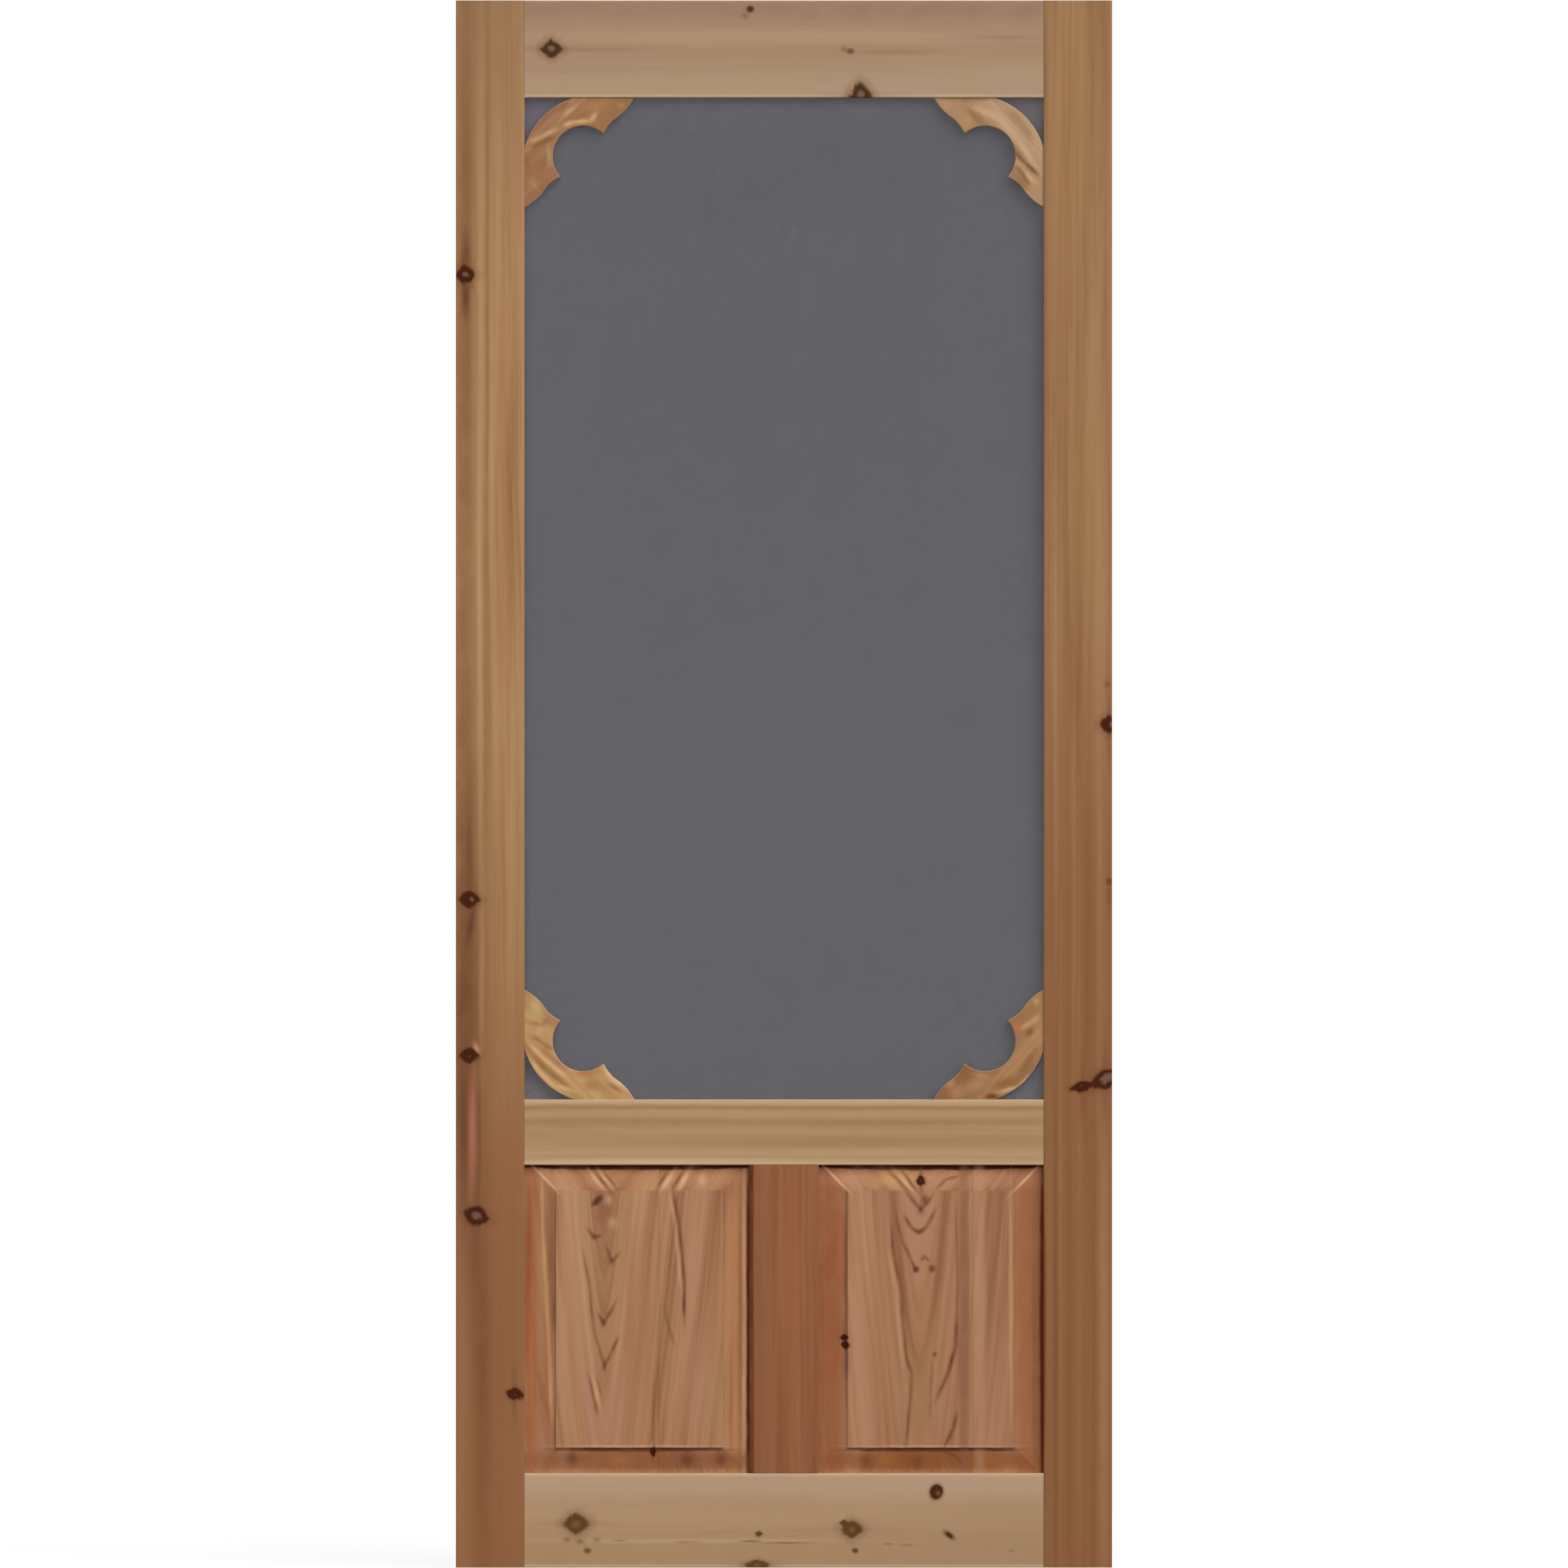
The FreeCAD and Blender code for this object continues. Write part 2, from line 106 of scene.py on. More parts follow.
class Nodes:
    """The nodes of one material or of the world."""

    def __init__(self, owner):
        owner.use_nodes = True
        self.tree = owner.node_tree
        self.tree.nodes.clear()

    def node(self, kind, settings=None, sockets=None, output=0):
        """Adds a node: its settings first, then the values or links of its sockets."""
        made = self.tree.nodes.new(kind)
        for name, value in (settings or {}).items():
            if name == "stops":
                ramp = made.color_ramp.elements
                while len(ramp) < len(value):
                    ramp.new(1.0)
                for stop, (place, colour) in zip(ramp, value):
                    stop.position = place
                    stop.color = paint(*colour)
            else:
                setattr(made, name, value)
        for socket, value in (sockets or {}).items():
            if isinstance(value, Signal):
                self.tree.links.new(value.socket, made.inputs[socket])
            else:
                made.inputs[socket].default_value = value
        return Signal(self, made.outputs[output]) if made.outputs else made

    def math(self, operation, *values):
        return self.node("ShaderNodeMath", {"operation": operation}, dict(enumerate(values)))

    def stretched(self, point, by):
        """A point with all three of its measures multiplied."""
        return self.node("ShaderNodeVectorMath", {"operation": "MULTIPLY"}, {0: point, 1: (by,) * 3})

    def place(self):
        """Where a point of the piece lies, in millimetres."""
        return self.stretched(self.node("ShaderNodeTexCoord", output="Object"), 1 / MM)

    def how_far(self, point, way):
        """How far a point lies along a way: their dot product."""
        return self.node("ShaderNodeVectorMath", {"operation": "DOT_PRODUCT"}, {0: point, 1: way}, "Value")

    def combine(self, x, y, z):
        return self.node("ShaderNodeCombineXYZ", None, {0: x, 1: y, 2: z})

    def rise(self, value, start, end):
        """0 before start, 1 after end and smooth between them."""
        settings = {"interpolation_type": "SMOOTHSTEP", "clamp": True}
        sockets = {"Value": value, "From Min": start, "From Max": end}
        return self.node("ShaderNodeMapRange", settings, sockets)

    def hump(self, value, width):
        """1 where value is 0, falling to both sides like a bell as wide as width."""
        scaled = value * (1 / width)
        return self.math("EXPONENT", scaled * scaled * -1)

    def noise(self, point, detail=2.0, roughness=0.5):
        """A soft random number round 0, from about -0.5 to 0.5."""
        sockets = {"Vector": point, "Scale": 1.0, "Detail": detail, "Roughness": roughness}
        return self.node("ShaderNodeTexNoise", {"noise_dimensions": "3D"}, sockets) - 0.5

    def mix(self, share, first, second):
        """A colour between two others, each a signal or a plain colour."""
        first, second = (each if isinstance(each, Signal) else paint(*each) for each in (first, second))
        settings = {"data_type": "RGBA", "clamp_factor": True}
        return self.node("ShaderNodeMix", settings, {0: share, 6: first, 7: second}, 2)

    def surface(self, colour, roughness, bump=None, **constants):
        """The shader and the output that every finish ends in."""
        sockets = {"Base Color": colour, "Roughness": roughness}
        if bump is not None:
            sockets["Normal"] = bump
        for name, value in constants.items():
            sockets[name.replace("_", " ")] = value
        shader = self.node("ShaderNodeBsdfPrincipled", None, sockets)
        self.node("ShaderNodeOutputMaterial", None, {"Surface": shader})


def new_material(name):
    material = bpy.data.materials.new(name)
    return material, Nodes(material)


# Cedar

LONG = 3000     # reaches past both ends of any board


@dataclass
class Knot:
    """A branch cut through: its place on the face, its reach across and along the grain, in millimetres."""
    side: float
    along: float
    wide: float
    tall: float
    turn: float = 0.0           # degrees
    heart: float = 0.4          # share of the knot that its paler heart takes up
    heart_aside: float = 0.0    # how far the heart lies off the middle, in knot sizes


@dataclass
class Streak:
    """A streak of another colour: its place on the face, and its reach across and along the grain."""
    side: float
    along: float
    wide: float
    tall: float
    colour: tuple
    strength: float
    turn: float = 0.0           # degrees
    crisp: float = 1.0          # 1 fades like a bell, and more has a firmer edge


@dataclass
class Board:
    """How one board was sawn from the tree and what its wood looks like. Lengths are in millimetres."""
    heart: tuple                # the tree's heart: across the face, and behind it
    deep: tuple                 # colours of the darker streaks, the wood between, the paler streaks
    mid: tuple
    pale: tuple
    rosy: tuple                 # colours of the redder and of the yellower patches
    golden: tuple
    foot: tuple = None          # what the colour turns to at the low end, and between which two places
    foot_span: tuple = (0.0, 1.0)
    grain: tuple = UP           # the way the fibres run
    side: tuple = RIGHTWARDS    # the way across the face
    ring: float = 3.0           # a year's growth
    lean: float = 0.004         # how far the rings drift aside, per millimetre along the board
    sway: float = 5.0           # how far the grain wanders to the sides
    slant: float = 0.0          # how far the streaks run aside, per millimetre that a bevel cuts deeper
    bands: float = 0.9          # strength of the broad streaks
    lines: float = 0.15         # strength of the dark lines between years
    crown: float = 0.0          # half the width in which those lines are strong, or 0 for everywhere
    knots: tuple = ()
    tails: float = 0.65         # strength of the dark tails that knots leave along the grain
    streaks: tuple = ()
    worn_and_lit_edges: tuple = ()      # the two long edges, where a pale line stands for sanding wear and for painted highlight
    rubbed_and_lit: float = 0.12        # how pale the eased arrises are painted, as sanding wear and as painted highlight
    glue_lines: tuple = ()      # where narrower boards meet, and how far apart they grew
    knot_rim: tuple = (66, 27, 5)
    knot_heart: tuple = (98, 78, 64)
    seed: float = 0.0


KNOT_HALO = (120, 76, 51)
KNOT_ROUNDING = 1.4         # 1 is a diamond and 2 an oval
KNOT_POLISH = 0.12          # how much smoother than the wood a knot is
# where a knot's halo, rim and heart begin to fade and where they end, in their own sizes
KNOT_HALO_EDGE = (0.8, 2.4)
KNOT_RIM_EDGE = (0.65, 1.2)
KNOT_HEART_EDGE = (0.35, 1.0)
# the tail that a knot leaves along the grain and how far the rings bend round it, in sizes of the knot
TAIL_WIDE = 0.4
TAIL_LONG = 4.5
KNOT_BEND_REACH = 2.0
KNOT_BEND = 2.2             # how many years aside they bend
# pale colour of sanded edges and arrises, also used as painted highlight
WEAR_AND_HIGHLIGHT = (204, 172, 138)
GLUE = (104, 66, 42)
GLUE_WIDE = 0.5
FIBRE_DEPTH = 0.6 * MM
FIBRE_BUMP = 0.2
WOOD_GLOSS = 0.05
WOOD_ROUGHNESS = 0.58
LATE_PART = (0.25, 0.88)    # the part of a year in which its growth darkens
OFF_CROWN = 0.12            # strength of the dark lines away from the crown
NARROW_SHARE = 0.7          # strength of the narrow streaks against the broad ones
WEAR_AND_HIGHLIGHT_BAND = (1.5, 6.0)      # where the pale line along an edge, sanding wear and painted highlight, begins to fade, and ends
END_GRAIN = (0.6, 0.95)     # how squarely a face cuts the grain, from no sawn end to a full one
END_DARKER = 0.55
ARRIS_FACING = 0.7          # how squarely an arris faces front or back
ARRIS_SPREAD = 0.15


@dataclass
class Unevenness:
    """How quickly something changes, per millimetre across and along the grain, and how fine it is."""
    across: float
    along: float
    detail: float
    roughness: float = 0.5
    seed: float = 0.0           # keeps it unlike the others of the same board


SLOW_BENDS = Unevenness(0.006, 0.004, 1)
SHORT_BENDS = Unevenness(0.05, 0.03, 2)
FIBRES = Unevenness(1.3, 0.02, 3, 0.6)
BROAD_STREAKS = Unevenness(0.045, 0.0011, 2)
NARROW_STREAKS = Unevenness(0.2, 0.003, 3, 0.55, 7)
PATCHES = Unevenness(0.035, 0.0025, 2, 0.5, 19)
FRAYING = Unevenness(0.13, 0.13, 2, 0.6)
FRAYING_INWARDS = 0.05      # per millimetre into the board


def cedar(name, board):
    """The finish of one board: growth rings round the tree's heart, streaks, fibres and knots."""
    material, nodes = new_material(name)
    point = nodes.place()
    along = nodes.how_far(point, board.grain)
    face_side = nodes.how_far(point, board.side)
    depth = nodes.how_far(point, BACKWARDS)

    # each glued-up board comes from another part of the tree
    side = face_side
    for place, shift in board.glue_lines:
        side = side + (face_side > place) * shift

    def all_through(kind):
        """Unevenness that runs through the whole board."""
        spot = nodes.combine(side * kind.across, depth * kind.across, along * kind.along + board.seed)
        return nodes.noise(spot, kind.detail, kind.roughness)

    wander = all_through(SLOW_BENDS)
    tremble = all_through(SHORT_BENDS)
    fibres = all_through(FIBRES)
    frays = nodes.combine(
        face_side * FRAYING.across, depth * FRAYING_INWARDS, along * FRAYING.along + board.seed)
    ragged = nodes.noise(frays, FRAYING.detail, FRAYING.roughness)

    frayed_spot = nodes.combine(face_side + tremble * 4 + ragged * 5, along + tremble * 5 - ragged * 6, 1.0)
    nearest, heart, tail = knot_distances(nodes, board.knots, frayed_spot)

    across = side - board.heart[0] + wander * (2 * board.sway) + tremble * 1.2
    through = depth - board.heart[1]
    years = nodes.math("SQRT", across * across + through * through) + along * board.lean
    if nearest:
        years = years + nodes.hump(nearest, KNOT_BEND_REACH) * (KNOT_BEND * board.ring)
    cut = years - depth * board.slant

    def with_rings(kind):
        """Unevenness that follows the growth rings."""
        spot = nodes.combine(cut * kind.across, along * kind.along, board.seed + kind.seed)
        return nodes.noise(spot, kind.detail, kind.roughness)

    broad = with_rings(BROAD_STREAKS)
    narrow = with_rings(NARROW_STREAKS)
    patches = with_rings(PATCHES)

    count = years * (1 / board.ring) + nodes.noise(nodes.combine(years * 0.05, board.seed, 0.0), 1.0) * 2
    season = nodes.math("FRACT", count)
    start, peak = LATE_PART
    late = nodes.rise(season, start, peak) * (1 - nodes.rise(season, peak, 1.0))
    vigour = nodes.node("ShaderNodeTexWhiteNoise", {"noise_dimensions": "1D"},
                        {"W": nodes.math("FLOOR", count) + board.seed})
    late = late * (vigour ** 3.0) * (0.7 + tremble * 2)
    if board.crown:
        late = late * (OFF_CROWN + nodes.hump(across, board.crown) * (1 - OFF_CROWN))

    streaky = broad * board.bands + narrow * (NARROW_SHARE * board.bands)
    tone = 0.5 + streaky + fibres * 0.22 - late * board.lines
    colour = nodes.node("ShaderNodeValToRGB", {
        "stops": ((0.0, board.deep), (0.5, board.mid), (1.0, board.pale)),
    }, {"Fac": tone})
    colour = nodes.mix(nodes.rise(patches, 0.0, 0.3) * 0.6, colour, board.rosy)
    colour = nodes.mix(nodes.rise(patches, 0.0, -0.25) * 0.7, colour, board.golden)
    if board.foot:
        low, high = board.foot_span
        turned = nodes.rise(along + wander * 160, high, low) * (0.9 + broad * 0.5)
        colour = nodes.mix(turned, colour, nodes.mix(0.5 + tone * 0.5, board.deep, board.foot))

    uneven = 1 + broad * 0.8 + tremble * 0.8
    spot = nodes.combine(face_side + wander * 3 + tremble * 2.2, along + tremble * 3, 1.0)
    colour = draw_streaks(nodes, colour, board.streaks, spot, uneven)
    for place, shift in board.glue_lines:
        colour = nodes.mix(nodes.hump(face_side - place, GLUE_WIDE) * 0.4, colour, GLUE)
    # a pale line along both long edges: sanding wear and painted highlight
    if board.worn_and_lit_edges:
        low, high = board.worn_and_lit_edges
        inset = nodes.math("MINIMUM", face_side - low, high - face_side)
        worn_and_lit = (1 - nodes.rise(inset + tremble * 2, *WEAR_AND_HIGHLIGHT_BAND)) * 0.7
        colour = nodes.mix(worn_and_lit, colour, WEAR_AND_HIGHLIGHT)

    # sawn ends drink in more of the oil, and eased arrises are painted pale, as sanding wear and as painted
    # highlight
    normal = nodes.node("ShaderNodeTexCoord", output="Normal")
    end = nodes.rise(abs(nodes.how_far(normal, board.grain)), *END_GRAIN)
    colour = nodes.mix(end * END_DARKER, colour, board.deep)
    arris = nodes.hump(abs(nodes.how_far(normal, BACKWARDS)) - ARRIS_FACING, ARRIS_SPREAD)
    colour = nodes.mix(arris * board.rubbed_and_lit, colour, WEAR_AND_HIGHLIGHT)

    roughness = WOOD_ROUGHNESS + narrow * 0.12 + fibres * 0.08
    if nearest:
        edge = nearest + ragged * 0.4 + fibres * 0.3
        colour = draw_knots(nodes, colour, board, edge, heart + ragged * 0.5, tail)
        roughness = roughness - (1 - nodes.rise(nearest, 0.9, 1.1)) * KNOT_POLISH
    relief = {"Strength": FIBRE_BUMP, "Distance": FIBRE_DEPTH, "Height": fibres}
    bump = nodes.node("ShaderNodeBump", None, relief)
    nodes.surface(colour, roughness, bump, Specular_IOR_Level=WOOD_GLOSS)
    return material


def from_middle(nodes, spot, mark):
    """How far a spot lies from the middle of a streak or knot, across and along it, in its own sizes.

    A spot is a place across and along the face, with 1 as its third value, which brings in the shift.
    """
    turn = math.radians(mark.turn)
    ways = (math.cos(turn), math.sin(turn), mark.wide), (-math.sin(turn), math.cos(turn), mark.tall)
    for x, y, size in ways:
        shift = x * mark.side + y * mark.along
        yield nodes.how_far(spot, (x / size, y / size, -shift / size))


def draw_streaks(nodes, colour, streaks, spot, uneven):
    """Streaks over a colour, each fading out from its middle."""
    strengths = dict.fromkeys(streak.strength for streak in streaks)
    shares = {strength: uneven * strength for strength in strengths}
    for streak in streaks:
        aside, lengthwise = from_middle(nodes, spot, streak)
        gap = nodes.math("MULTIPLY_ADD", aside, aside, lengthwise * lengthwise)
        fade = nodes.math("POWER", 1 / math.e, gap if streak.crisp == 1 else gap ** streak.crisp)
        colour = nodes.mix(fade * shares[streak.strength], colour, streak.colour)
    return colour


def knot_distances(nodes, knots, spot):
    """How far a spot is from the nearest knot, its heart and its tail along the grain, in knot sizes."""
    found = None
    for knot in knots:
        aside, lengthwise = from_middle(nodes, spot, knot)
        gap = abs(aside) ** KNOT_ROUNDING + abs(lengthwise) ** KNOT_ROUNDING
        off_heart = (aside - knot.heart_aside) ** 2.0 + lengthwise * lengthwise
        spread = (knot.wide + knot.tall) / 2
        tail = replace(knot, wide=TAIL_WIDE * spread, tall=TAIL_LONG * spread, turn=0.0)
        beside, beyond = from_middle(nodes, spot, tail)
        gaps = gap, off_heart ** 0.5 * (1 / knot.heart), (beside * beside + beyond * beyond) ** 0.5
        found = gaps if found is None else [nodes.math("MINIMUM", *pair) for pair in zip(found, gaps)]
    return found or (None, None, None)


def draw_knots(nodes, colour, board, nearest, heart, tail):
    """Knots over the board's own colour: a darker halo with tails, a dark rim and a greyer heart."""
    halo = 1 - nodes.rise(nearest, *KNOT_HALO_EDGE)
    colour = nodes.mix(halo * 0.4, colour, KNOT_HALO)
    colour = nodes.mix(nodes.hump(tail, 0.75) * board.tails, colour, KNOT_HALO)
    colour = nodes.mix(1 - nodes.rise(nearest, *KNOT_RIM_EDGE), colour, board.knot_rim)
    return nodes.mix((1 - nodes.rise(heart, *KNOT_HEART_EDGE)) * 0.85, colour, board.knot_heart)


LINE_CRISP = 1.2
LINE_REACH = 0.6    # how far each piece of a line fades out, in its own lengths, so that they run together


def drawn_line(colour, strength, wide, *points):
    """A line through points, each given across and along the face, as a row of streaks."""
    pieces = []
    for (side, along), (next_side, next_along) in zip(points, points[1:]):
        run, climb = next_side - side, next_along - along
        middle = (side + next_side) / 2, (along + next_along) / 2
        tall = LINE_REACH * math.hypot(run, climb)
        turn = math.degrees(math.atan2(-run, climb))
        pieces.append(Streak(*middle, wide, tall, colour, strength, turn, LINE_CRISP))
    return pieces


LATE = (112, 66, 42)    # the panels' lines of late growth
ACROSS_DOOR = dict(grain=RIGHTWARDS, side=UP)

BOARDS = {}
BOARDS["hinge_stile"] = Board(
    heart=(-70, 95), ring=3.4, seed=3.1, bands=1.25,
    deep=(140, 98, 62), mid=(174, 134, 93), pale=(189, 151, 109),
    rosy=(171, 124, 88), golden=(169, 132, 88), knot_heart=(114, 87, 74),
    foot=(140, 91, 59), foot_span=(350, 1150),
    streaks=(
        Streak(12, 1016, 17, LONG, (145, 103, 67), 0.8),
        Streak(32.5, 1700, 3.8, 900, (178, 141, 103), 0.75),
        Streak(41.3, 1700, 2.6, 850, (146, 107, 69), 0.8),
        Streak(13.5, 1740, 7, 270, (122, 82, 52), 0.7),
        Streak(30.5, 1180, 3, 270, (186, 148, 108), 0.7),
        Streak(37.5, 1150, 2.8, 330, (146, 104, 67), 0.6),
        Streak(62, 1400, 4, 420, (154, 114, 76), 0.4),
        Streak(44, 2060, 90, 260, (143, 106, 76), 0.6),
        Streak(14, 740, 22, 330, (114, 74, 45), 0.8),
        Streak(33.5, 770, 2.8, 100, (172, 128, 88), 0.6),
        Streak(17.5, 925, 4, 60, (116, 70, 46), 0.7),
        Streak(18.5, 832, 3.6, 30, (104, 54, 38), 0.95, -8),
        Streak(13, 1650, 4.5, 22, (82, 46, 34), 0.95),
        Streak(13, 1703, 6, 18, (104, 66, 44), 0.7),
        Streak(9.5, 560, 6.5, 110, (92, 54, 36), 0.7),
        Streak(21.5, 565, 4.5, 80, (174, 110, 86), 0.8),
        Streak(30.5, 560, 3, 90, (118, 72, 48), 0.6),
        Streak(26.5, 672.5, 3.6, 7, (208, 152, 112), 1, 25),
        Streak(35, 250, 13, 280, (122, 76, 46), 0.7),
        Streak(7, 230, 7, 260, (154, 108, 78), 0.5),
        Streak(24, 405, 9, 60, (122, 74, 52), 0.5),
        Streak(87, 1600, 1.6, 330, (192, 138, 106), 0.6),
    ),
    knots=(
        Knot(12.1, 1676.3, 13.5, 14.5, 0, 0.36), Knot(17.4, 866, 14.5, 12.5, 0, 0.26, 0.2),
        Knot(17.4, 664, 14, 11, 0, 0.1), Knot(26.8, 456.7, 18, 14, -18, 0.5),
        Knot(76.5, 225, 12, 9, -15, 0.1),
    ),
)
BOARDS["latch_stile"] = Board(
    heart=(960, 130), ring=3.8, seed=11.7, sway=4, bands=1.35,
    deep=(132, 90, 56), mid=(159, 119, 81), pale=(175, 136, 97),
    rosy=(161, 115, 82), golden=(157, 119, 78), knot_heart=(124, 91, 80),
    foot=(140, 94, 60), foot_span=(800, 1300),
    streaks=(
        Streak(763, 1200, 2.2, 700, (134, 104, 74), 0.6),
        Streak(769, 1150, 2.2, 450, (160, 92, 56), 0.7),
        Streak(845, 1145, 4, 4.4, (112, 76, 36), 0.8),
        Streak(846.8, 889.5, 4.4, 5, (100, 60, 24), 0.9, 0, 2),
        Streak(846.8, 872, 3, 18, (122, 78, 44), 0.7),
        Streak(772.5, 1500, 4, 700, (170, 132, 96), 0.55),
        Streak(790, 1250, 4.5, 420, (142, 101, 65), 0.7),
        Streak(825, 1660, 7, 260, (168, 131, 93), 0.8),
        Streak(777.5, 1150, 2.6, 330, (168, 128, 92), 0.65),
        Streak(772, 880, 3.2, 250, (134, 88, 56), 0.7),
        Streak(801, 1000, 3.2, 420, (160, 116, 80), 0.6),
        Streak(834.5, 960, 4, 230, (163, 118, 83), 0.7),
        Streak(777.5, 300, 3.6, 400, (122, 79, 49), 0.7),
        Streak(784.5, 450, 2.4, 500, (153, 108, 74), 0.6),
        Streak(795.5, 330, 4.5, 420, (130, 86, 53), 0.7),
        Streak(840, 300, 7, 420, (162, 115, 83), 0.8),
        Streak(827, 300, 3.4, 420, (131, 86, 53), 0.7),
        Streak(819, 760, 5, 300, (130, 84, 53), 0.6),
        Streak(808.5, 500, 3, 600, (154, 108, 73), 0.6),
        # painted shade along the stile's inner edge beside the right panel
        Streak(763, 322, 2.6, 185, (82, 42, 23), 0.7, 0, 2),
    ),
    knots=(
        Knot(846.5, 1093.3, 12.5, 13, 0, 0.4, 0.3),
        # a branch sawn lengthwise
        Knot(812, 623.5, 18, 7.5, 12, 0.1), Knot(842, 633, 25, 13, 27, 0.6, 0.1),
    ),
)
BOARDS["top_rail"] = Board(
    **ACROSS_DOOR, rubbed_and_lit=0.25, tails=0.25, heart=(1850, 150), ring=4,
    seed=23.3, sway=8, bands=0.6,
    deep=(147, 113, 86), mid=(171, 141, 112), pale=(188, 160, 130),
    rosy=(172, 135, 110), golden=(171, 143, 110), worn_and_lit_edges=(1906, 2036),
    knot_rim=(75, 45, 21), knot_heart=(116, 100, 80),
    streaks=(
        Streak(2022, 425, 22, LONG, (155, 121, 98), 0.8),
        Streak(1922, 425, 24, LONG, (177, 149, 121), 0.75),
        Streak(1985, 330, 9, 210, (178, 145, 116), 0.6),
        Streak(1965, 565, 3, 60, (144, 112, 84), 0.6),
        Streak(1984, 710, 3, 45, (148, 116, 90), 0.5),
        Streak(1968, 190, 3, 55, (148, 114, 86), 0.5),
        Streak(2021, 382, 4.8, 5, (80, 46, 16), 0.95, 0, 2),
        Streak(2012, 375, 4.2, 4.6, (122, 92, 64), 0.7),
        Streak(1965.8, 511.5, 4, 5.2, (92, 54, 22), 0.95, 0, 2),
        Streak(1968.6, 503.5, 3.4, 4.6, (126, 90, 58), 0.8),
    ),
    knots=(
        Knot(1968.9, 123.6, 12.5, 15, 0, 0.42), Knot(1908, 525, 19, 15, 0, 0.4, 0.1),
    ),
)
# the middle rail's arrises are painted pale, largely as painted highlight of the light from above
BOARDS["middle_rail"] = Board(
    **ACROSS_DOOR, rubbed_and_lit=0.6, heart=(440, 120), ring=4.4, seed=31.9, sway=3, bands=0.85, lines=0.2,
    deep=(150, 114, 80), mid=(170, 136, 99), pale=(186, 154, 116),
    rosy=(172, 132, 97), golden=(170, 138, 97), worn_and_lit_edges=(522, 607),
    streaks=(
        Streak(596.5, 425, 3, LONG, (154, 118, 82), 0.7),
        Streak(588, 425, 4, LONG, (178, 146, 109), 0.6),
        Streak(577.5, 425, 5.5, LONG, (154, 122, 84), 0.7),
        Streak(566, 300, 4, 250, (180, 146, 107), 0.6),
        Streak(552, 560, 7, 300, (159, 119, 82), 0.6),
        Streak(538, 425, 7, LONG, (183, 151, 113), 0.7),
        Streak(602, 425, 2.6, LONG, (194, 160, 122), 0.7),
        Streak(527, 260, 3.6, 240, (204, 172, 136), 0.8),
        Streak(527.5, 620, 3, 200, (186, 152, 116), 0.7),
    ),
)
BOARDS["bottom_rail"] = Board(
    **ACROSS_DOOR, rubbed_and_lit=0.5, tails=0.2, heart=(-70, 140), ring=5, seed=41.3, sway=8, bands=0.4,
    deep=(153, 119, 88), mid=(176, 143, 109), pale=(190, 159, 124),
    rosy=(174, 140, 112), golden=(172, 139, 102), worn_and_lit_edges=(0, 122.5),
    knot_rim=(97, 63, 33), knot_heart=(116, 84, 53),
    streaks=(
        Streak(113, 425, 24, LONG, (184, 154, 128), 0.8),
        Streak(12, 425, 40, LONG, (165, 130, 95), 0.5),
        Streak(34.5, 300, 2.6, 190, (194, 164, 124), 0.6),
        Streak(35.7, 143.5, 3, 6, (126, 90, 54), 0.75),
        Streak(33.4, 161, 3.4, 6, (122, 86, 50), 0.75),
        Streak(35.8, 183, 3, 4.4, (130, 94, 56), 0.65),
        Streak(21.6, 170.3, 4, 5.6, (88, 58, 27), 0.9, 0, 2),
        Streak(22, 518, 3.8, 4.6, (92, 60, 30), 0.9, 0, 2),
        Streak(97.5, 622.8, 10.5, 8.5, (68, 31, 4), 1.7, 25, 2),
        Streak(95.8, 625, 3, 2.6, (132, 92, 66), 0.8),
        *drawn_line((72, 40, 12), 1.3, 3.6, (46, 634.5), (37.5, 645)),
        Streak(35, 212, 1.2, 7, (120, 82, 52), 0.7),
        Streak(33, 299, 1.6, 16, (158, 100, 66), 0.7),
        Streak(33.5, 382, 1.5, 13, (104, 70, 46), 0.8),
        Streak(31.5, 430, 1.2, 28, (128, 84, 54), 0.8),
        Streak(30.5, 561, 1.2, 6, (120, 80, 52), 0.7),
        Streak(29, 585, 1.4, 9, (138, 98, 66), 0.7),
        Streak(22, 720, 2, 3.5, (124, 92, 64), 0.7),
    ),
    knots=(
        Knot(56.8, 156.3, 14, 17.5, 0, 0.5),
        Knot(49.5, 513, 12.5, 16, 0, 0.45), Knot(57.5, 503.5, 4.5, 6, 0, 0.1),
        Knot(43.1, 393, 4, 4.6, 0, 0.1), Knot(3, 390.9, 7, 17, 0, 0.4),
    ),
)
BOARDS["mullion"] = Board(
    heart=(300, 110), ring=2.6, seed=53.9, sway=2, bands=1.7,
    deep=(128, 76, 48), mid=(145, 91, 61), pale=(161, 107, 75),
    rosy=(149, 90, 61), golden=(142, 91, 58),
    streaks=(
        Streak(392, 322, 12, LONG, (137, 87, 57), 0.6),
        Streak(420, 430, 3.2, 150, (158, 102, 71), 0.7),
        Streak(437, 322, 6, LONG, (150, 95, 65), 0.5),
        Streak(456, 260, 4, 240, (137, 83, 53), 0.6),
        # painted shade along the mullion's left edge beside the left panel
        Streak(383, 322, 3.6, LONG, (92, 42, 20), 0.85, 0, 2),
    ),
)
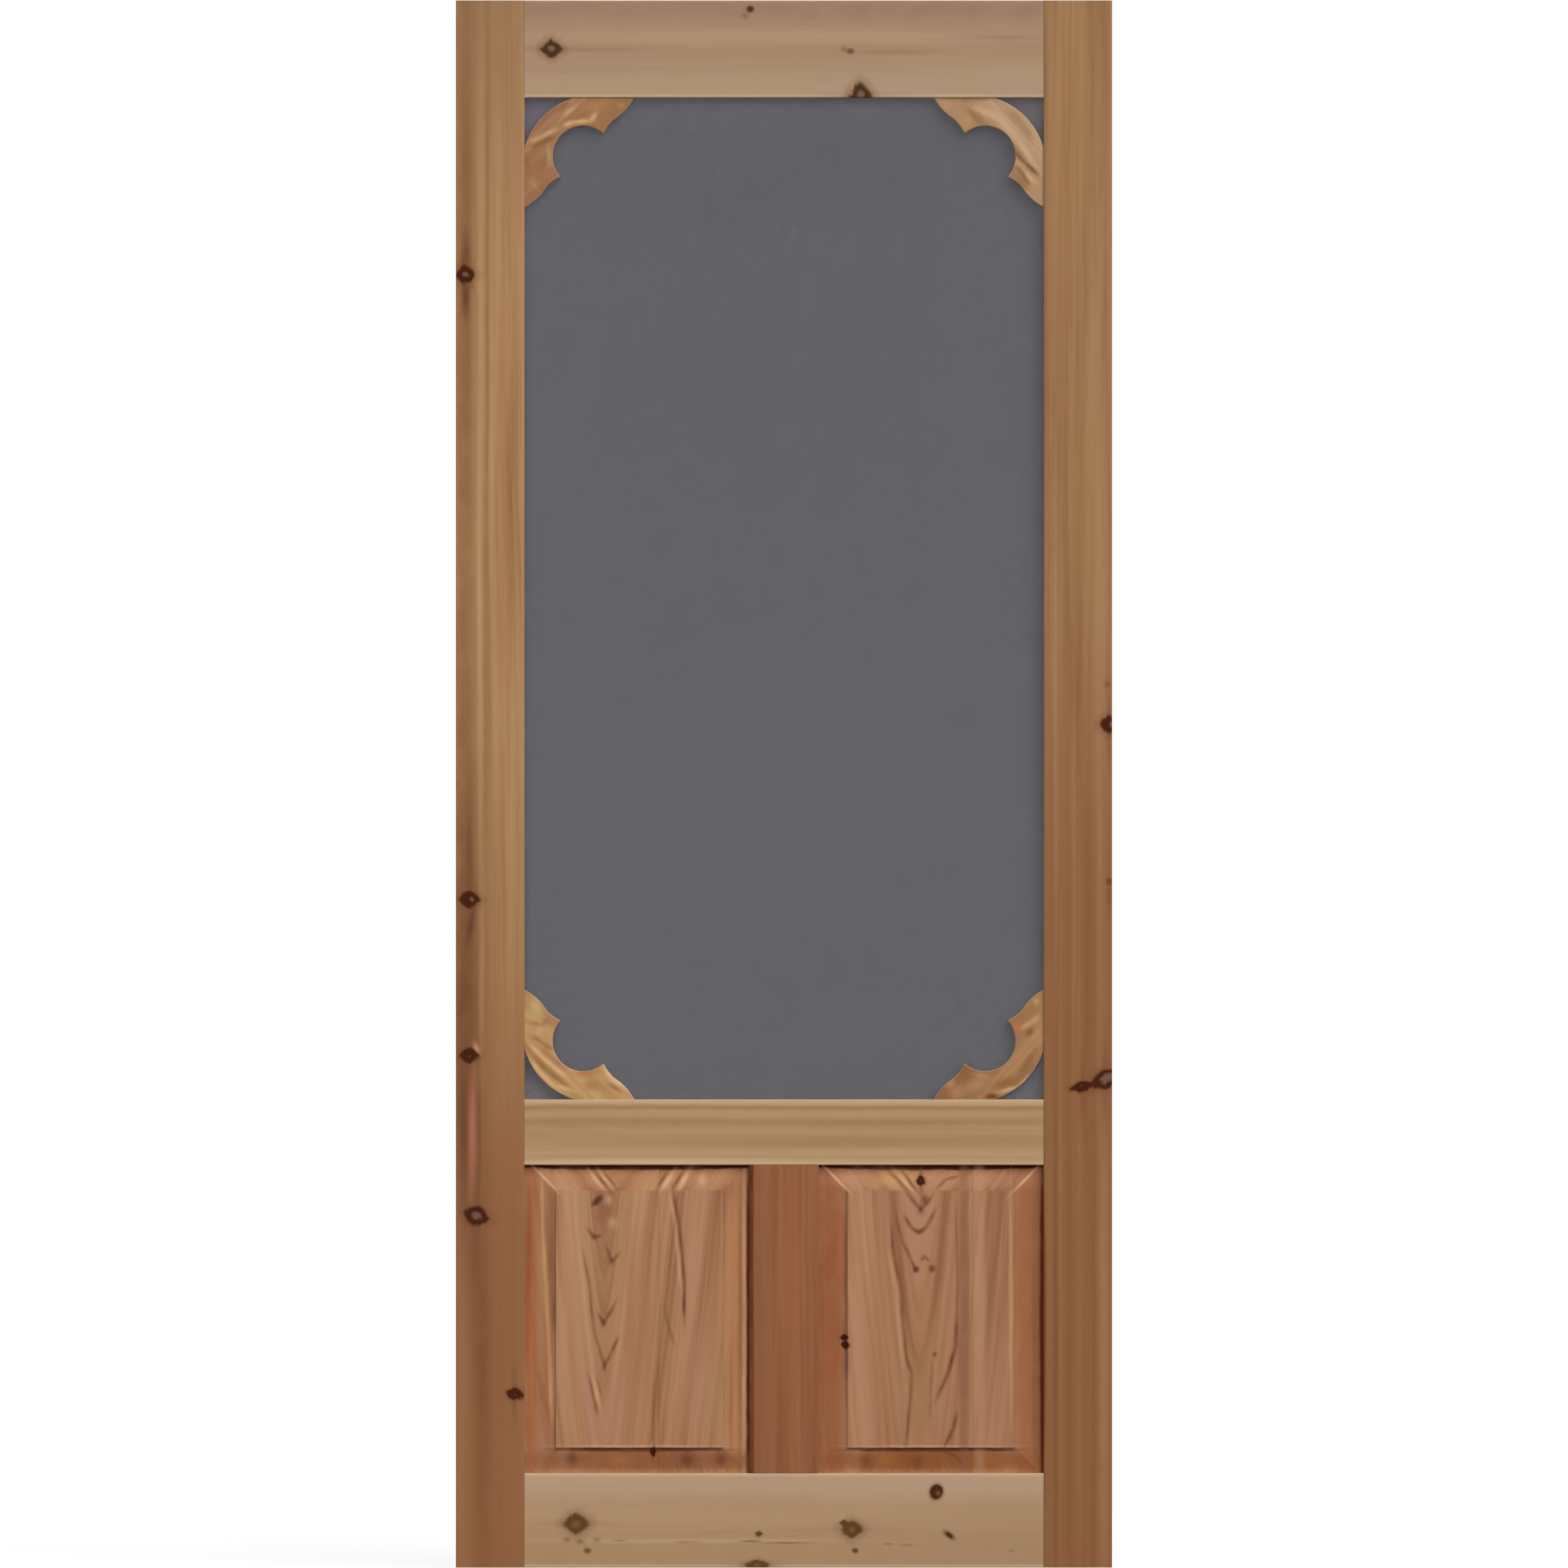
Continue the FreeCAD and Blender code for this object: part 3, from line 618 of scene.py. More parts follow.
BOARDS["left_panel"] = Board(
    heart=(194, 0), ring=6.4, lean=-0.1, seed=61.1, sway=7, slant=2.5,
    bands=1.45, lines=0.45, crown=20,
    deep=(137, 91, 60), mid=(169, 122, 88), pale=(188, 145, 108),
    rosy=(171, 121, 97), golden=(167, 128, 89), glue_lines=((263.6, 95),),
    streaks=(
        # margins and bevels
        Streak(96.5, 322, 7.5, 260, (158, 89, 54), 0.85, 0, 2),
        Streak(94, 410, 3, 60, (138, 74, 46), 0.7),
        Streak(97.5, 250, 2.6, 70, (172, 108, 72), 0.7),
        Streak(105, 322, 3.6, 260, (170, 112, 74), 0.7),
        Streak(118, 240, 7, 90, (160, 103, 65), 0.7),
        *drawn_line((202, 150, 104), 0.85, 2.6, (110.5, 508), (112, 440), (116.5, 376),
                    (121.5, 275), (123.5, 190)),
        # darker strip beside the field's left step, this line and the next: wood colour and painted shade
        Streak(123.5, 400, 4.4, 100, (138, 90, 57), 0.85),
        Streak(127, 330, 2.4, 26, (112, 68, 42), 0.7),
        Streak(361, 322, 13, 300, (174, 118, 79), 0.65, 0, 2),
        Streak(368, 322, 3, 230, (146, 92, 58), 0.75),
        Streak(353, 400, 3, 90, (178, 124, 86), 0.7),
        Streak(357, 220, 2.6, 70, (146, 92, 59), 0.7),
        # painted highlight along the right bevel's outer edge, which faces the light
        Streak(374, 322, 2.4, 230, (214, 166, 126), 0.85, 0, 2),
        # painted shadow along the right margin, cast by the mullion
        Streak(380, 322, 3, 230, (110, 49, 25), 1.1, 0, 3),
        # painted shadow along the top margin, under the middle rail
        Streak(238, 521, 160, 5.4, (58, 14, 0), 1.7, 0, 3),
        # painted shadow under the raised field's lower step
        Streak(238.2, 152.6, 112, 2.6, (84, 40, 23), 1.2, 0, 3),
        # top bevel painted paler, as painted highlight of the light from above
        Streak(238, 503, 150, 12, (180, 128, 88), 0.55, 0, 2),
        # bottom bevel painted darker: its redder wood and painted shade
        Streak(238, 139, 180, 15, (143, 88, 55), 0.8, 0, 2),
        Streak(150, 141, 9, 9, (100, 54, 32), 0.85),
        Streak(212, 140, 16, 7, (170, 108, 64), 0.8),
        Streak(300, 140, 11, 10, (106, 58, 36), 0.75),
        Streak(344, 140, 9, 10, (114, 60, 38), 0.75),
        # pale line along the bevels' mitre: painted highlight
        *drawn_line((216, 172, 132), 0.8, 1.7, (101.4, 517.5), (129.9, 489)),
        *drawn_line(LATE, 0.75, 2.6, (181, 511), (198, 491)),
        *drawn_line(LATE, 0.7, 2.4, (192, 512), (207, 493)),
        *drawn_line((216, 172, 130), 0.7, 2.8, (174, 513), (191, 491)),
        *drawn_line((216, 172, 130), 0.6, 2.4, (187, 513), (202, 493)),
        *drawn_line(LATE, 0.7, 2.6, (261, 492), (273, 512)),
        *drawn_line(LATE, 0.7, 2.4, (281, 492), (294, 513)),
        *drawn_line((218, 174, 130), 0.7, 3, (268, 492), (282, 513)),
        *drawn_line((218, 174, 130), 0.7, 3.2, (290, 492), (301, 513)),
        Streak(319, 503, 6, 9, (214, 168, 124), 0.6),
        # field
        # pale line along the field's lower edge: wear and painted highlight
        Streak(238, 157.5, 107, 1.6, (200, 152, 124), 0.7, 0, 2),
        Streak(141, 330, 9, 170, (183, 138, 106), 0.6),
        Streak(159, 330, 7, 150, (175, 135, 94), 0.5),
        Streak(226, 330, 10, 170, (155, 109, 75), 0.5),
        Streak(248, 300, 9, 120, (162, 111, 81), 0.5),
        Streak(262, 230, 2.6, 75, (136, 88, 58), 0.5),
        Streak(307, 400, 9, 110, (181, 133, 106), 0.55),
        Streak(333, 380, 8, 90, (168, 115, 79), 0.5),
        Streak(318, 230, 22, 60, (177, 130, 103), 0.5),
        Streak(189.5, 462, 8, 13, (140, 95, 70), 0.65, -15),
        Streak(198, 477, 5, 6, (200, 154, 124), 0.7),
        Streak(204, 447, 6.5, 7.5, (194, 147, 117), 0.65),
        Streak(183.5, 475.5, 4.6, 9.5, (66, 36, 22), 1.1, -45, 2),
        *drawn_line(LATE, 0.75, 2.6, (171.6, 438.5), (179.7, 427.6), (188.6, 431.7)),
        *drawn_line(LATE, 0.65, 2.5, (195.5, 417), (202.8, 396), (212.1, 407)),
        *drawn_line(LATE, 0.75, 2.7, (185.8, 330), (191.9, 316), (206, 341.5)),
        *drawn_line(LATE, 0.55, 2.4, (165.6, 404), (173.7, 363.7), (179.7, 307), (192.7, 259.5)),
        *drawn_line(LATE, 0.75, 2.6, (192.7, 259.5), (201, 277), (210.1, 297)),
        Streak(179.5, 429, 3.4, 4, (92, 52, 33), 0.8),
        Streak(202.6, 398, 3, 4, (92, 52, 33), 0.8),
        Streak(191.6, 318, 3.2, 5, (92, 52, 33), 0.8),
        Streak(192.9, 263, 2.6, 7, (92, 52, 33), 0.8),
        *drawn_line(LATE, 0.6, 2.2, (173, 246), (180, 218), (184, 200)),
        *drawn_line((198, 156, 118), 0.7, 2.4, (177.7, 246), (185.8, 212)),
        *drawn_line(LATE, 0.45, 2, (182.5, 248), (190, 218)),
        *drawn_line(LATE, 0.9, 2.6, (281.7, 485), (289, 444.6), (293, 404), (295.9, 363.7),
                    (295.9, 323)),
        *drawn_line((202, 158, 122), 0.5, 2.4, (277, 485), (283.8, 444.6), (288, 404),
                    (291, 363.7)),
        *drawn_line(LATE, 0.5, 2.4, (271, 335), (276, 312), (282, 292)),
        *drawn_line(LATE, 0.4, 2.2, (258, 250), (256, 200), (256, 165)),
    ),
    knots=(Knot(256.4, 150.5, 4.5, 6, 0, 0.1),),
)
BOARDS["right_panel"] = Board(
    heart=(602.4, 2), ring=7, lean=-0.1, seed=73.7, sway=6, slant=2.5,
    bands=1.35, lines=0.3, crown=22,
    deep=(138, 91, 62), mid=(170, 122, 90), pale=(189, 145, 109),
    rosy=(168, 118, 94), golden=(163, 123, 86), glue_lines=((669.8, 130),),
    knot_rim=(60, 18, 2),
    streaks=(
        # margins and bevels
        Streak(486, 322, 21, 300, (155, 93, 59), 0.85, 0, 2),
        Streak(500, 430, 3.2, 60, (172, 100, 68), 0.6),
        Streak(476, 322, 3, 170, (138, 82, 52), 0.5),
        # darker strip beside the field's left step: wood colour and painted shade
        Streak(505.5, 390, 2.4, 90, (112, 68, 43), 0.6),
        Streak(746, 322, 21, 300, (149, 92, 56), 0.85, 0, 2),
        Streak(736, 322, 4, 200, (161, 101, 60), 0.5),
        Streak(749, 300, 3, 190, (132, 77, 47), 0.5),
        # painted shadow along the right margin, cast by the latch stile
        Streak(760.2, 322, 3.4, 230, (112, 47, 21), 1.2, 0, 3),
        # painted shadow along the top margin, under the middle rail
        Streak(616, 521, 160, 5.4, (58, 14, 0), 1.7, 0, 3),
        # painted shadow under the raised field's lower step
        Streak(616.2, 152.6, 112, 2.6, (82, 40, 22), 1.2, 0, 3),
        # top bevel painted paler, as painted highlight of the light from above
        Streak(616, 503, 150, 12, (182, 131, 96), 0.5, 0, 2),
        Streak(566, 503, 26, 10, (196, 152, 94), 0.75),
        Streak(512, 505, 16, 8, (190, 137, 108), 0.6),
        # bottom bevel painted darker: its redder wood and painted shade
        Streak(616, 139, 150, 15, (143, 83, 42), 0.85, 0, 2),
        Streak(560, 140, 11, 8, (172, 106, 50), 0.6),
        Streak(531, 138, 8, 10, (112, 62, 36), 0.6),
        Streak(601, 137, 7, 10, (108, 62, 34), 0.6),
        Streak(690, 139, 20, 7, (168, 103, 54), 0.6),
        # pale lines along the bevels' mitres: painted highlight
        *drawn_line((218, 172, 134), 0.8, 1.7, (479.4, 517.5), (507.9, 489)),
        *drawn_line((218, 172, 134), 0.8, 1.7, (753, 517.5), (724.5, 489)),
        *drawn_line(LATE, 0.7, 2.6, (562, 513), (587, 487)),
        *drawn_line(LATE, 0.7, 2.4, (579, 513), (598, 488)),
        *drawn_line((214, 172, 116), 0.6, 2.4, (571, 513), (592, 488)),
        *drawn_line(LATE, 0.6, 2.2, (624, 492), (636, 503), (652, 508)),
        *drawn_line(LATE, 0.7, 2.4, (632, 151), (649, 144), (659, 130)),
        Streak(506.5, 266, 3.2, 18, (124, 76, 74), 0.85),
        # field
        # pale line along the field's lower edge: wear and painted highlight
        Streak(616, 157.5, 107, 1.6, (196, 150, 122), 0.7, 0, 2),
        Streak(521, 330, 9, 170, (181, 132, 102), 0.55),
        Streak(549, 330, 10, 170, (162, 118, 80), 0.5),
        Streak(610, 330, 12, 70, (167, 121, 85), 0.5),
        Streak(659.5, 322, 8, 260, (139, 95, 70), 0.8, 0, 2),
        Streak(679, 322, 8.5, 260, (184, 138, 107), 0.65, 0, 2),
        # painted highlight beside the field's lit right step
        Streak(719.5, 350, 2.6, 145, (196, 154, 106), 0.65, 0, 2),
        *drawn_line(LATE, 0.75, 2.7, (584.8, 485), (603.1, 463), (617.2, 481)),
        *drawn_line(LATE, 0.75, 2.6, (582.8, 454.7), (590.9, 440.6), (601, 434.5), (611.1, 442.6),
                    (621.3, 462.8)),
        *drawn_line(LATE, 0.65, 2.4, (570.7, 456.8), (578.8, 424.4), (590.9, 398.1), (597, 388)),
        *drawn_line(LATE, 0.65, 2.2, (603.9, 398.1), (607.9, 404.1), (613.2, 398.1)),
        Streak(597, 387, 4.4, 4.6, (104, 62, 42), 0.9, 0, 2),
        Streak(618, 388, 4.8, 5, (124, 62, 44), 0.9, 0, 2),
        Streak(608, 477, 5, 6.5, (96, 54, 36), 0.8),
        Streak(603, 465, 3, 4.5, (88, 50, 32), 0.8),
        Streak(601, 436, 5, 2.6, (96, 54, 34), 0.7),
        Streak(621.3, 276.7, 3.2, 3.8, LATE, 0.75, 0, 2),
        *drawn_line(LATE, 0.75, 2.6, (564.6, 444.6), (568.7, 404.1), (576.7, 363.7), (580.8, 311.1),
                    (584.8, 274.6), (590.9, 250.3), (588.9, 213.9), (584.8, 161)),
        *drawn_line((192, 148, 108), 0.45, 2.6, (562, 404.1), (570.5, 363.7), (575, 311.1),
                    (580, 268)),
        *drawn_line((112, 60, 40), 0.85, 2.9, (649.6, 323), (648.4, 287), (639.5, 254.4),
                    (625.3, 222)),
        *drawn_line(LATE, 0.5, 2, (649, 470), (650.4, 376), (649.6, 323)),
        *drawn_line(LATE, 0.8, 2.7, (649.6, 200), (645.6, 181.5), (634, 157)),
        *drawn_line(LATE, 0.45, 2.2, (618, 262), (616, 226), (614.5, 190)),
    ),
    knots=(
        Knot(603.1, 501, 6, 8, 0, 0.1), Knot(503.4, 298.5, 5.5, 5.5, 0, 0.1),
        Knot(505, 288, 6, 6.5, 0, 0.1),
    ),
)

BRACKET_WOOD = dict(ring=9, lean=0.03, sway=14, bands=1.7, lines=0.4, rubbed_and_lit=0.5)
BRACKET_HEART = (8, 55)     # the tree's heart: aside of the bracket's middle, and behind it
DIAGONAL = math.sqrt(0.5)
RISING = (DIAGONAL, 0, DIAGONAL)
FALLING = (DIAGONAL, 0, -DIAGONAL)
BRACKETS = {
    "top_left_bracket": dict(
        grain=RISING, side=FALLING, seed=5.3, deep=(130, 86, 53), mid=(156, 111, 79),
        pale=(186, 146, 107), rosy=(168, 111, 79), golden=(161, 123, 79)),
    "top_right_bracket": dict(
        grain=FALLING, side=RISING, seed=17.9, deep=(138, 98, 64), mid=(171, 135, 102),
        pale=(198, 168, 132), rosy=(180, 134, 101), golden=(174, 143, 92)),
    "bottom_left_bracket": dict(
        grain=FALLING, side=RISING, seed=29.2, deep=(146, 101, 62), mid=(182, 140, 95),
        pale=(204, 164, 118), rosy=(180, 122, 82), golden=(182, 147, 92)),
    "bottom_right_bracket": dict(
        grain=RISING, side=FALLING, seed=43.6, deep=(127, 84, 52), mid=(151, 108, 72),
        pale=(180, 138, 97), rosy=(166, 110, 74), golden=(166, 127, 80)),
}
# sweeps of colour: colour, strength, reach to the sides, and the places on their way, across and up the door
SWEEPS = {}
SWEEPS["top_left_bracket"] = (
    ((200, 158, 118), 0.8, 3, (95.6, 1849.3), (110.7, 1855.8), (132.2, 1865.5)),
    ((128, 84, 50), 0.75, 3.4, (98, 1841), (110.7, 1847.5), (126, 1854)),
    ((202, 154, 116), 0.75, 3, (140, 1883), (154, 1894)),
    ((138, 96, 57), 0.7, 3.4, (134.5, 1888), (146, 1901)),
    ((208, 168, 120), 0.8, 3, (140.9, 1869.8), (151.7, 1874.2), (175.4, 1876.3), (182, 1886)),
    ((154, 101, 63), 0.65, 3.6, (156, 1879.5), (173.3, 1887)),
    ((180, 120, 80), 0.6, 5, (168.9, 1894.7), (194.8, 1894.7)),
    ((182, 144, 66), 0.6, 4, (214, 1895.5)),
    ((166, 110, 74), 0.6, 6, (187.5, 1872)),
    ((182, 149, 102), 0.75, 4, (120.4, 1841), (122, 1819)),
    ((152, 112, 68), 0.75, 10, (97, 1824), (103, 1800)),
    ((134, 96, 56), 0.7, 4, (91.5, 1829), (93.5, 1812)),
    ((184, 142, 98), 0.5, 5, (97, 1800), (104, 1788)),
)
SWEEPS["top_right_bracket"] = (
    ((203, 168, 131), 0.75, 5, (665.6, 1895.6), (703.5, 1880), (728.7, 1851.4), (750, 1818)),
    ((152, 108, 64), 0.95, 4.4, (664, 1889), (682, 1874.5)),
    ((162, 124, 88), 0.8, 5.5, (718, 1888), (734, 1871), (746, 1852)),
    ((160, 122, 86), 0.9, 3.4, (690, 1873), (712, 1853), (738, 1829)),
    ((132, 92, 58), 1.15, 3, (721, 1839.5), (738.1, 1822), (754, 1807)),
    ((204, 164, 120), 0.9, 3, (720.9, 1828), (733.8, 1812.6), (750, 1797)),
    ((144, 102, 62), 1, 3.2, (726.5, 1819), (741.5, 1798)),
    ((180, 143, 84), 0.8, 8, (662.6, 1884), (658.3, 1868)),
    ((194, 140, 108), 0.7, 6, (636.7, 1897)),
    ((186, 132, 92), 0.6, 4, (687, 1878)),
    # painted shadow under the top rail, along the bracket's top edge
    ((138, 103, 68), 0.7, 2.6, (636, 1904.5), (694, 1904)),
    ((192, 148, 104), 0.6, 5, (748, 1790)),
)
SWEEPS["bottom_left_bracket"] = (
    ((194, 163, 110), 0.95, 9, (100, 738), (107, 714)),
    ((154, 106, 71), 0.8, 2.8, (96, 707.5), (110.7, 702.7), (121, 712.4)),
    ((198, 160, 116), 0.7, 5.5, (108.5, 696)),
    ((148, 101, 60), 0.7, 3.4, (98.5, 689.5), (112.8, 680), (126, 671)),
    ((216, 172, 126), 0.7, 2.8, (97, 676), (110.7, 662.7), (125.8, 649.8), (142, 636)),
    ((164, 112, 68), 0.65, 4.2, (110.7, 674.5), (125.8, 659.5), (143, 645.5)),
    ((142, 94, 53), 0.75, 2.8, (100, 661.5), (119.3, 643.3), (139.5, 627.5)),
    ((210, 170, 122), 0.7, 2.8, (99.5, 655), (108.5, 643.3), (125.8, 626), (153.8, 617.5)),
    ((180, 112, 66), 0.85, 5.5, (158.2, 641), (186, 643.3)),
    ((158, 114, 69), 0.65, 6, (168, 626), (187, 624)),
    ((222, 184, 138), 0.85, 4.2, (192.7, 650), (203.5, 634.7), (220.7, 624), (231.5, 619)),
    ((144, 95, 55), 0.8, 3, (198, 627.5), (213, 618.5)),
)
SWEEPS["bottom_right_bracket"] = (
    ((182, 110, 70), 0.85, 6, (725.2, 708), (729.5, 695)),
    ((192, 145, 102), 0.9, 3.6, (733.8, 699.4), (746.8, 707), (756, 714.5)),
    ((132, 88, 54), 1.1, 4, (740, 690), (747, 698)),
    ((180, 130, 90), 0.6, 3.8, (742.4, 680), (756, 691)),
    ((144, 99, 60), 0.9, 5.4, (733.8, 641), (751.1, 671.4)),
    ((144, 97, 55), 0.95, 6.4, (699.3, 622), (725.2, 633)),
    ((116, 66, 30), 1.1, 4, (688, 610.5), (702, 611)),
    ((200, 158, 112), 0.95, 2.6, (705.8, 616.5), (729.5, 623), (744, 637)),
    ((181, 134, 102), 0.7, 9, (649.6, 616)),
    ((174, 135, 88), 0.75, 9, (660, 620), (688, 634)),
    ((196, 153, 92), 0.6, 4, (636.7, 624), (645.3, 630.3)),
    ((200, 160, 112), 0.6, 4.4, (753.2, 734)),
    ((180, 120, 81), 0.6, 4, (720.9, 647.6), (733.8, 667.1)),
    ((186, 140, 98), 0.6, 3.4, (672, 640), (690, 636)),
)


def along_grain(place, wood):
    """A place across and up the door, as a place across and along a board's own grain."""
    across, up = place
    return tuple(across * way[0] + up * way[2] for way in (wood["side"], wood["grain"]))


def sweeps_as_streaks(sweeps, wood):
    """A sweep through one place is a round spot, and any other is a line."""
    streaks = []
    for colour, strength, wide, *places in sweeps:
        points = [along_grain(place, wood) for place in places]
        if len(points) == 1:
            streaks.append(Streak(*points[0], wide, wide, colour, strength))
        streaks += drawn_line(colour, strength, wide, *points)
    return tuple(streaks)


for bracket, wood in BRACKETS.items():
    low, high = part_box(bracket)
    centre = ((low + high) / 2).dot(Vector(wood["side"])) / MM
    aside, behind = BRACKET_HEART
    sweeps = sweeps_as_streaks(SWEEPS[bracket], wood)
    BOARDS[bracket] = Board(heart=(centre + aside, behind), streaks=sweeps, **BRACKET_WOOD, **wood)

STOP_WOOD = dict(
    heart=(-160, 60), ring=2.8, bands=0.7, deep=(134, 94, 62), mid=(164, 125, 88),
    pale=(180, 144, 106), rosy=(164, 117, 84), golden=(162, 126, 84),
)
STOPS = {
    "top_screen_stop": ACROSS_DOOR, "bottom_screen_stop": ACROSS_DOOR,
    "left_screen_stop": {}, "right_screen_stop": {},
}
STOP_SEED = 80
SEED_STEP = 9
for stop, run in STOPS.items():
    BOARDS[stop] = Board(seed=STOP_SEED + SEED_STEP * len(BOARDS), **run, **STOP_WOOD)

for node, board in BOARDS.items():
    bpy.data.objects[node].material_slots[0].material = cedar(f"{node}_cedar", board)


# Insect screen

PITCH = 0.6 * MM
THREAD_WIDTH = 0.775 * PITCH
THREAD_THICKNESS = 0.12 * PITCH
HEXAGON_FLATS = math.sqrt(3) / 2    # a hexagon's width across its flats, for 1 across its corners
DARK_THREAD = (61, 59, 67)
PALE_THREAD = (77, 76, 84)
THREAD_GLOSS = 0.25
STRAND_PACE = 0.8       # how quickly the colour changes, per millimetre, from strand to strand
DRIFT_PACE = 0.006      # and over the whole cloth


def select_only(*pieces):
    bpy.ops.object.select_all(action="DESELECT")
    for piece in pieces:
        piece.select_set(True)
    bpy.context.view_layer.objects.active = pieces[-1]


def set_of_threads(name, length, centre, turn, step, count):
    """A flattened six-sided thread, repeated side by side."""
    bpy.ops.object.select_all(action="DESELECT")
    bpy.ops.mesh.primitive_cylinder_add(vertices=6, radius=THREAD_WIDTH / 2, depth=length,
                                        location=centre, rotation=turn)
    threads = bpy.context.object
    threads.name = name
    bpy.ops.object.transform_apply()
    bpy.ops.object.mode_set(mode="EDIT")
    bpy.ops.mesh.select_all(action="SELECT")
    flatten = THREAD_THICKNESS / (THREAD_WIDTH * HEXAGON_FLATS)
    bpy.ops.transform.resize(value=(1.0, flatten, 1.0), center_override=centre)
    bpy.ops.object.mode_set(mode="OBJECT")
    array = threads.modifiers.new("repeat", "ARRAY")
    array.use_relative_offset = False
    array.use_constant_offset = True
    array.constant_offset_displace = step
    array.count = count
    bpy.ops.object.modifier_apply(modifier=array.name)
    return threads


# paler cloth, across and up the door: it hides the frame's soft shade under the top rail and in the corners
PALER_CLOTH = (
    Streak(425, 1906, 420, 26, (86, 84, 96), 0.9),
    Streak(92, 1902, 32, 32, (93, 80, 108), 0.9),
    Streak(759, 1902, 32, 32, (96, 88, 97), 0.9),
    Streak(92, 611, 32, 32, (94, 82, 92), 0.9),
    Streak(759, 611, 32, 32, (84, 78, 92), 0.9),
)


def screen_finish():
    """Charcoal coated thread, a little uneven from strand to strand."""
    material, nodes = new_material("charcoal_screen")
    point = nodes.place()
    strands = nodes.noise(nodes.stretched(point, STRAND_PACE), 1.0)
    drift = nodes.noise(nodes.stretched(point, DRIFT_PACE), 2.0)
    shade = 0.5 + strands * 0.6 + drift * 0.2
    colour = nodes.mix(shade, DARK_THREAD, PALE_THREAD)
    spot = nodes.combine(nodes.how_far(point, RIGHTWARDS), nodes.how_far(point, UP), 1.0)
    colour = draw_streaks(nodes, colour, PALER_CLOTH, spot, 1.0)
    nodes.surface(colour, 0.62 + strands * 0.15, Specular_IOR_Level=THREAD_GLOSS)
    return material


def make_screen():
    """Upright threads in front and level ones behind, over the whole of the CAD cloth."""
    low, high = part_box("screen_cloth")
    size = high - low
    middle = (low + high) / 2
    uprights = int(size.x / PITCH)
    weft = int(size.z / PITCH)
    half = THREAD_THICKNESS / 2
    first_upright = Vector((middle.x - (uprights - 1) / 2 * PITCH, middle.y - half, middle.z))
    first_weft = Vector((middle.x, middle.y + half, middle.z - (weft - 1) / 2 * PITCH))
    quarter = math.pi / 2
    warp_threads = set_of_threads(
        "warp_threads", size.z, first_upright, (0, 0, quarter), (PITCH, 0, 0), uprights)
    weft_threads = set_of_threads(
        "weft_threads", size.x, first_weft, (quarter, 0, quarter), (0, 0, PITCH), weft)
    select_only(weft_threads, warp_threads)
    bpy.ops.object.join()
    screen = bpy.context.object
    screen.name = "insect_screen"
    screen.data.materials.append(screen_finish())
    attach(screen, "root")
    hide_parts("screen_cloth")


make_screen()


# Brads in the stops

BRAD_SIDES = 10
BRAD_RADIUS = 0.9 * MM
BRAD_LENGTH = 2.0 * MM
BRAD_PROUD = 0.15 * MM      # how far a head's rim stands out of the stop, and its middle out of the rim
BRAD_RIM = 0.25 * BRAD_RADIUS
BRAD_SPACING = 165 * MM
BRAD_END = 40 * MM
TARNISH_PACE = 0.9          # how quickly the steel's colour changes, per millimetre


def brad_finish():
    """Dull steel."""
    material, nodes = new_material("brad_steel")
    tarnish = nodes.noise(nodes.stretched(nodes.place(), TARNISH_PACE), 2.0)
    colour = nodes.mix(0.5 + tarnish * 1.5, (112, 108, 102), (150, 146, 140))
    nodes.surface(colour, 0.42 + tarnish * 0.3, Metallic=1.0)
    return material


def brad_places():
    """Along the middle of each stop's back, evenly spaced."""
    for stop in STOPS:
        low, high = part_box(stop)
        size = high - low
        way = Vector(RIGHTWARDS) if size.x > size.z else Vector(UP)
        run = size.dot(way) - 2 * BRAD_END
        gaps = round(run / BRAD_SPACING)
        middle = Vector(((low.x + high.x) / 2, high.y, (low.z + high.z) / 2))
        for number in range(gaps + 1):
            yield middle + way * run * (number / gaps - 0.5)


def make_brads():
    """One brad with a slightly domed head, copied to every place and joined."""
    places = list(brad_places())
    middle = places[0] + Vector((0, BRAD_PROUD - BRAD_LENGTH / 2, 0))
    bpy.ops.object.select_all(action="DESELECT")
    bpy.ops.mesh.primitive_cylinder_add(vertices=BRAD_SIDES, radius=BRAD_RADIUS, depth=BRAD_LENGTH,
                                        location=middle, rotation=(-math.pi / 2, 0, 0))
    brad = bpy.context.object
    bpy.ops.object.transform_apply()
    bpy.ops.object.mode_set(mode="EDIT")
    bpy.ops.mesh.select_all(action="DESELECT")
    bpy.ops.object.mode_set(mode="OBJECT")
    for face in brad.data.polygons:
        face.select = face.normal.y > 0.9
    bpy.ops.object.mode_set(mode="EDIT")
    bpy.ops.mesh.inset(thickness=BRAD_RIM)
    bpy.ops.transform.translate(value=(0, BRAD_PROUD, 0))
    bpy.ops.object.mode_set(mode="OBJECT")
    brads = [brad]
    for place in places[1:]:
        select_only(brad)
        bpy.ops.object.duplicate()
        bpy.ops.transform.translate(value=place - places[0])
        brads.append(bpy.context.object)
    select_only(*reversed(brads))
    bpy.ops.object.join()
    joined = bpy.context.object
    joined.name = "stop_brads"
    joined.data.materials.append(brad_finish())
    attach(joined, "root")


make_brads()


# Floor, light and camera

PHOTO_WIDTH = 2.033         # metres across the picture, at the door's front face
CAMERA_DISTANCE = 40.0
SENSOR = 36.0
FLOOR_SIZE = 7.0
FLOOR_DROP = 2 * MM         # how far the floor lies below the door
FLOOR_GLOW = 0.76           # lifts the floor that the camera sees to the white of the backdrop
SPECKLE_PACE = 0.003        # how quickly the floor's grey changes, per millimetre
FILL = 0.2                  # even light from all sides
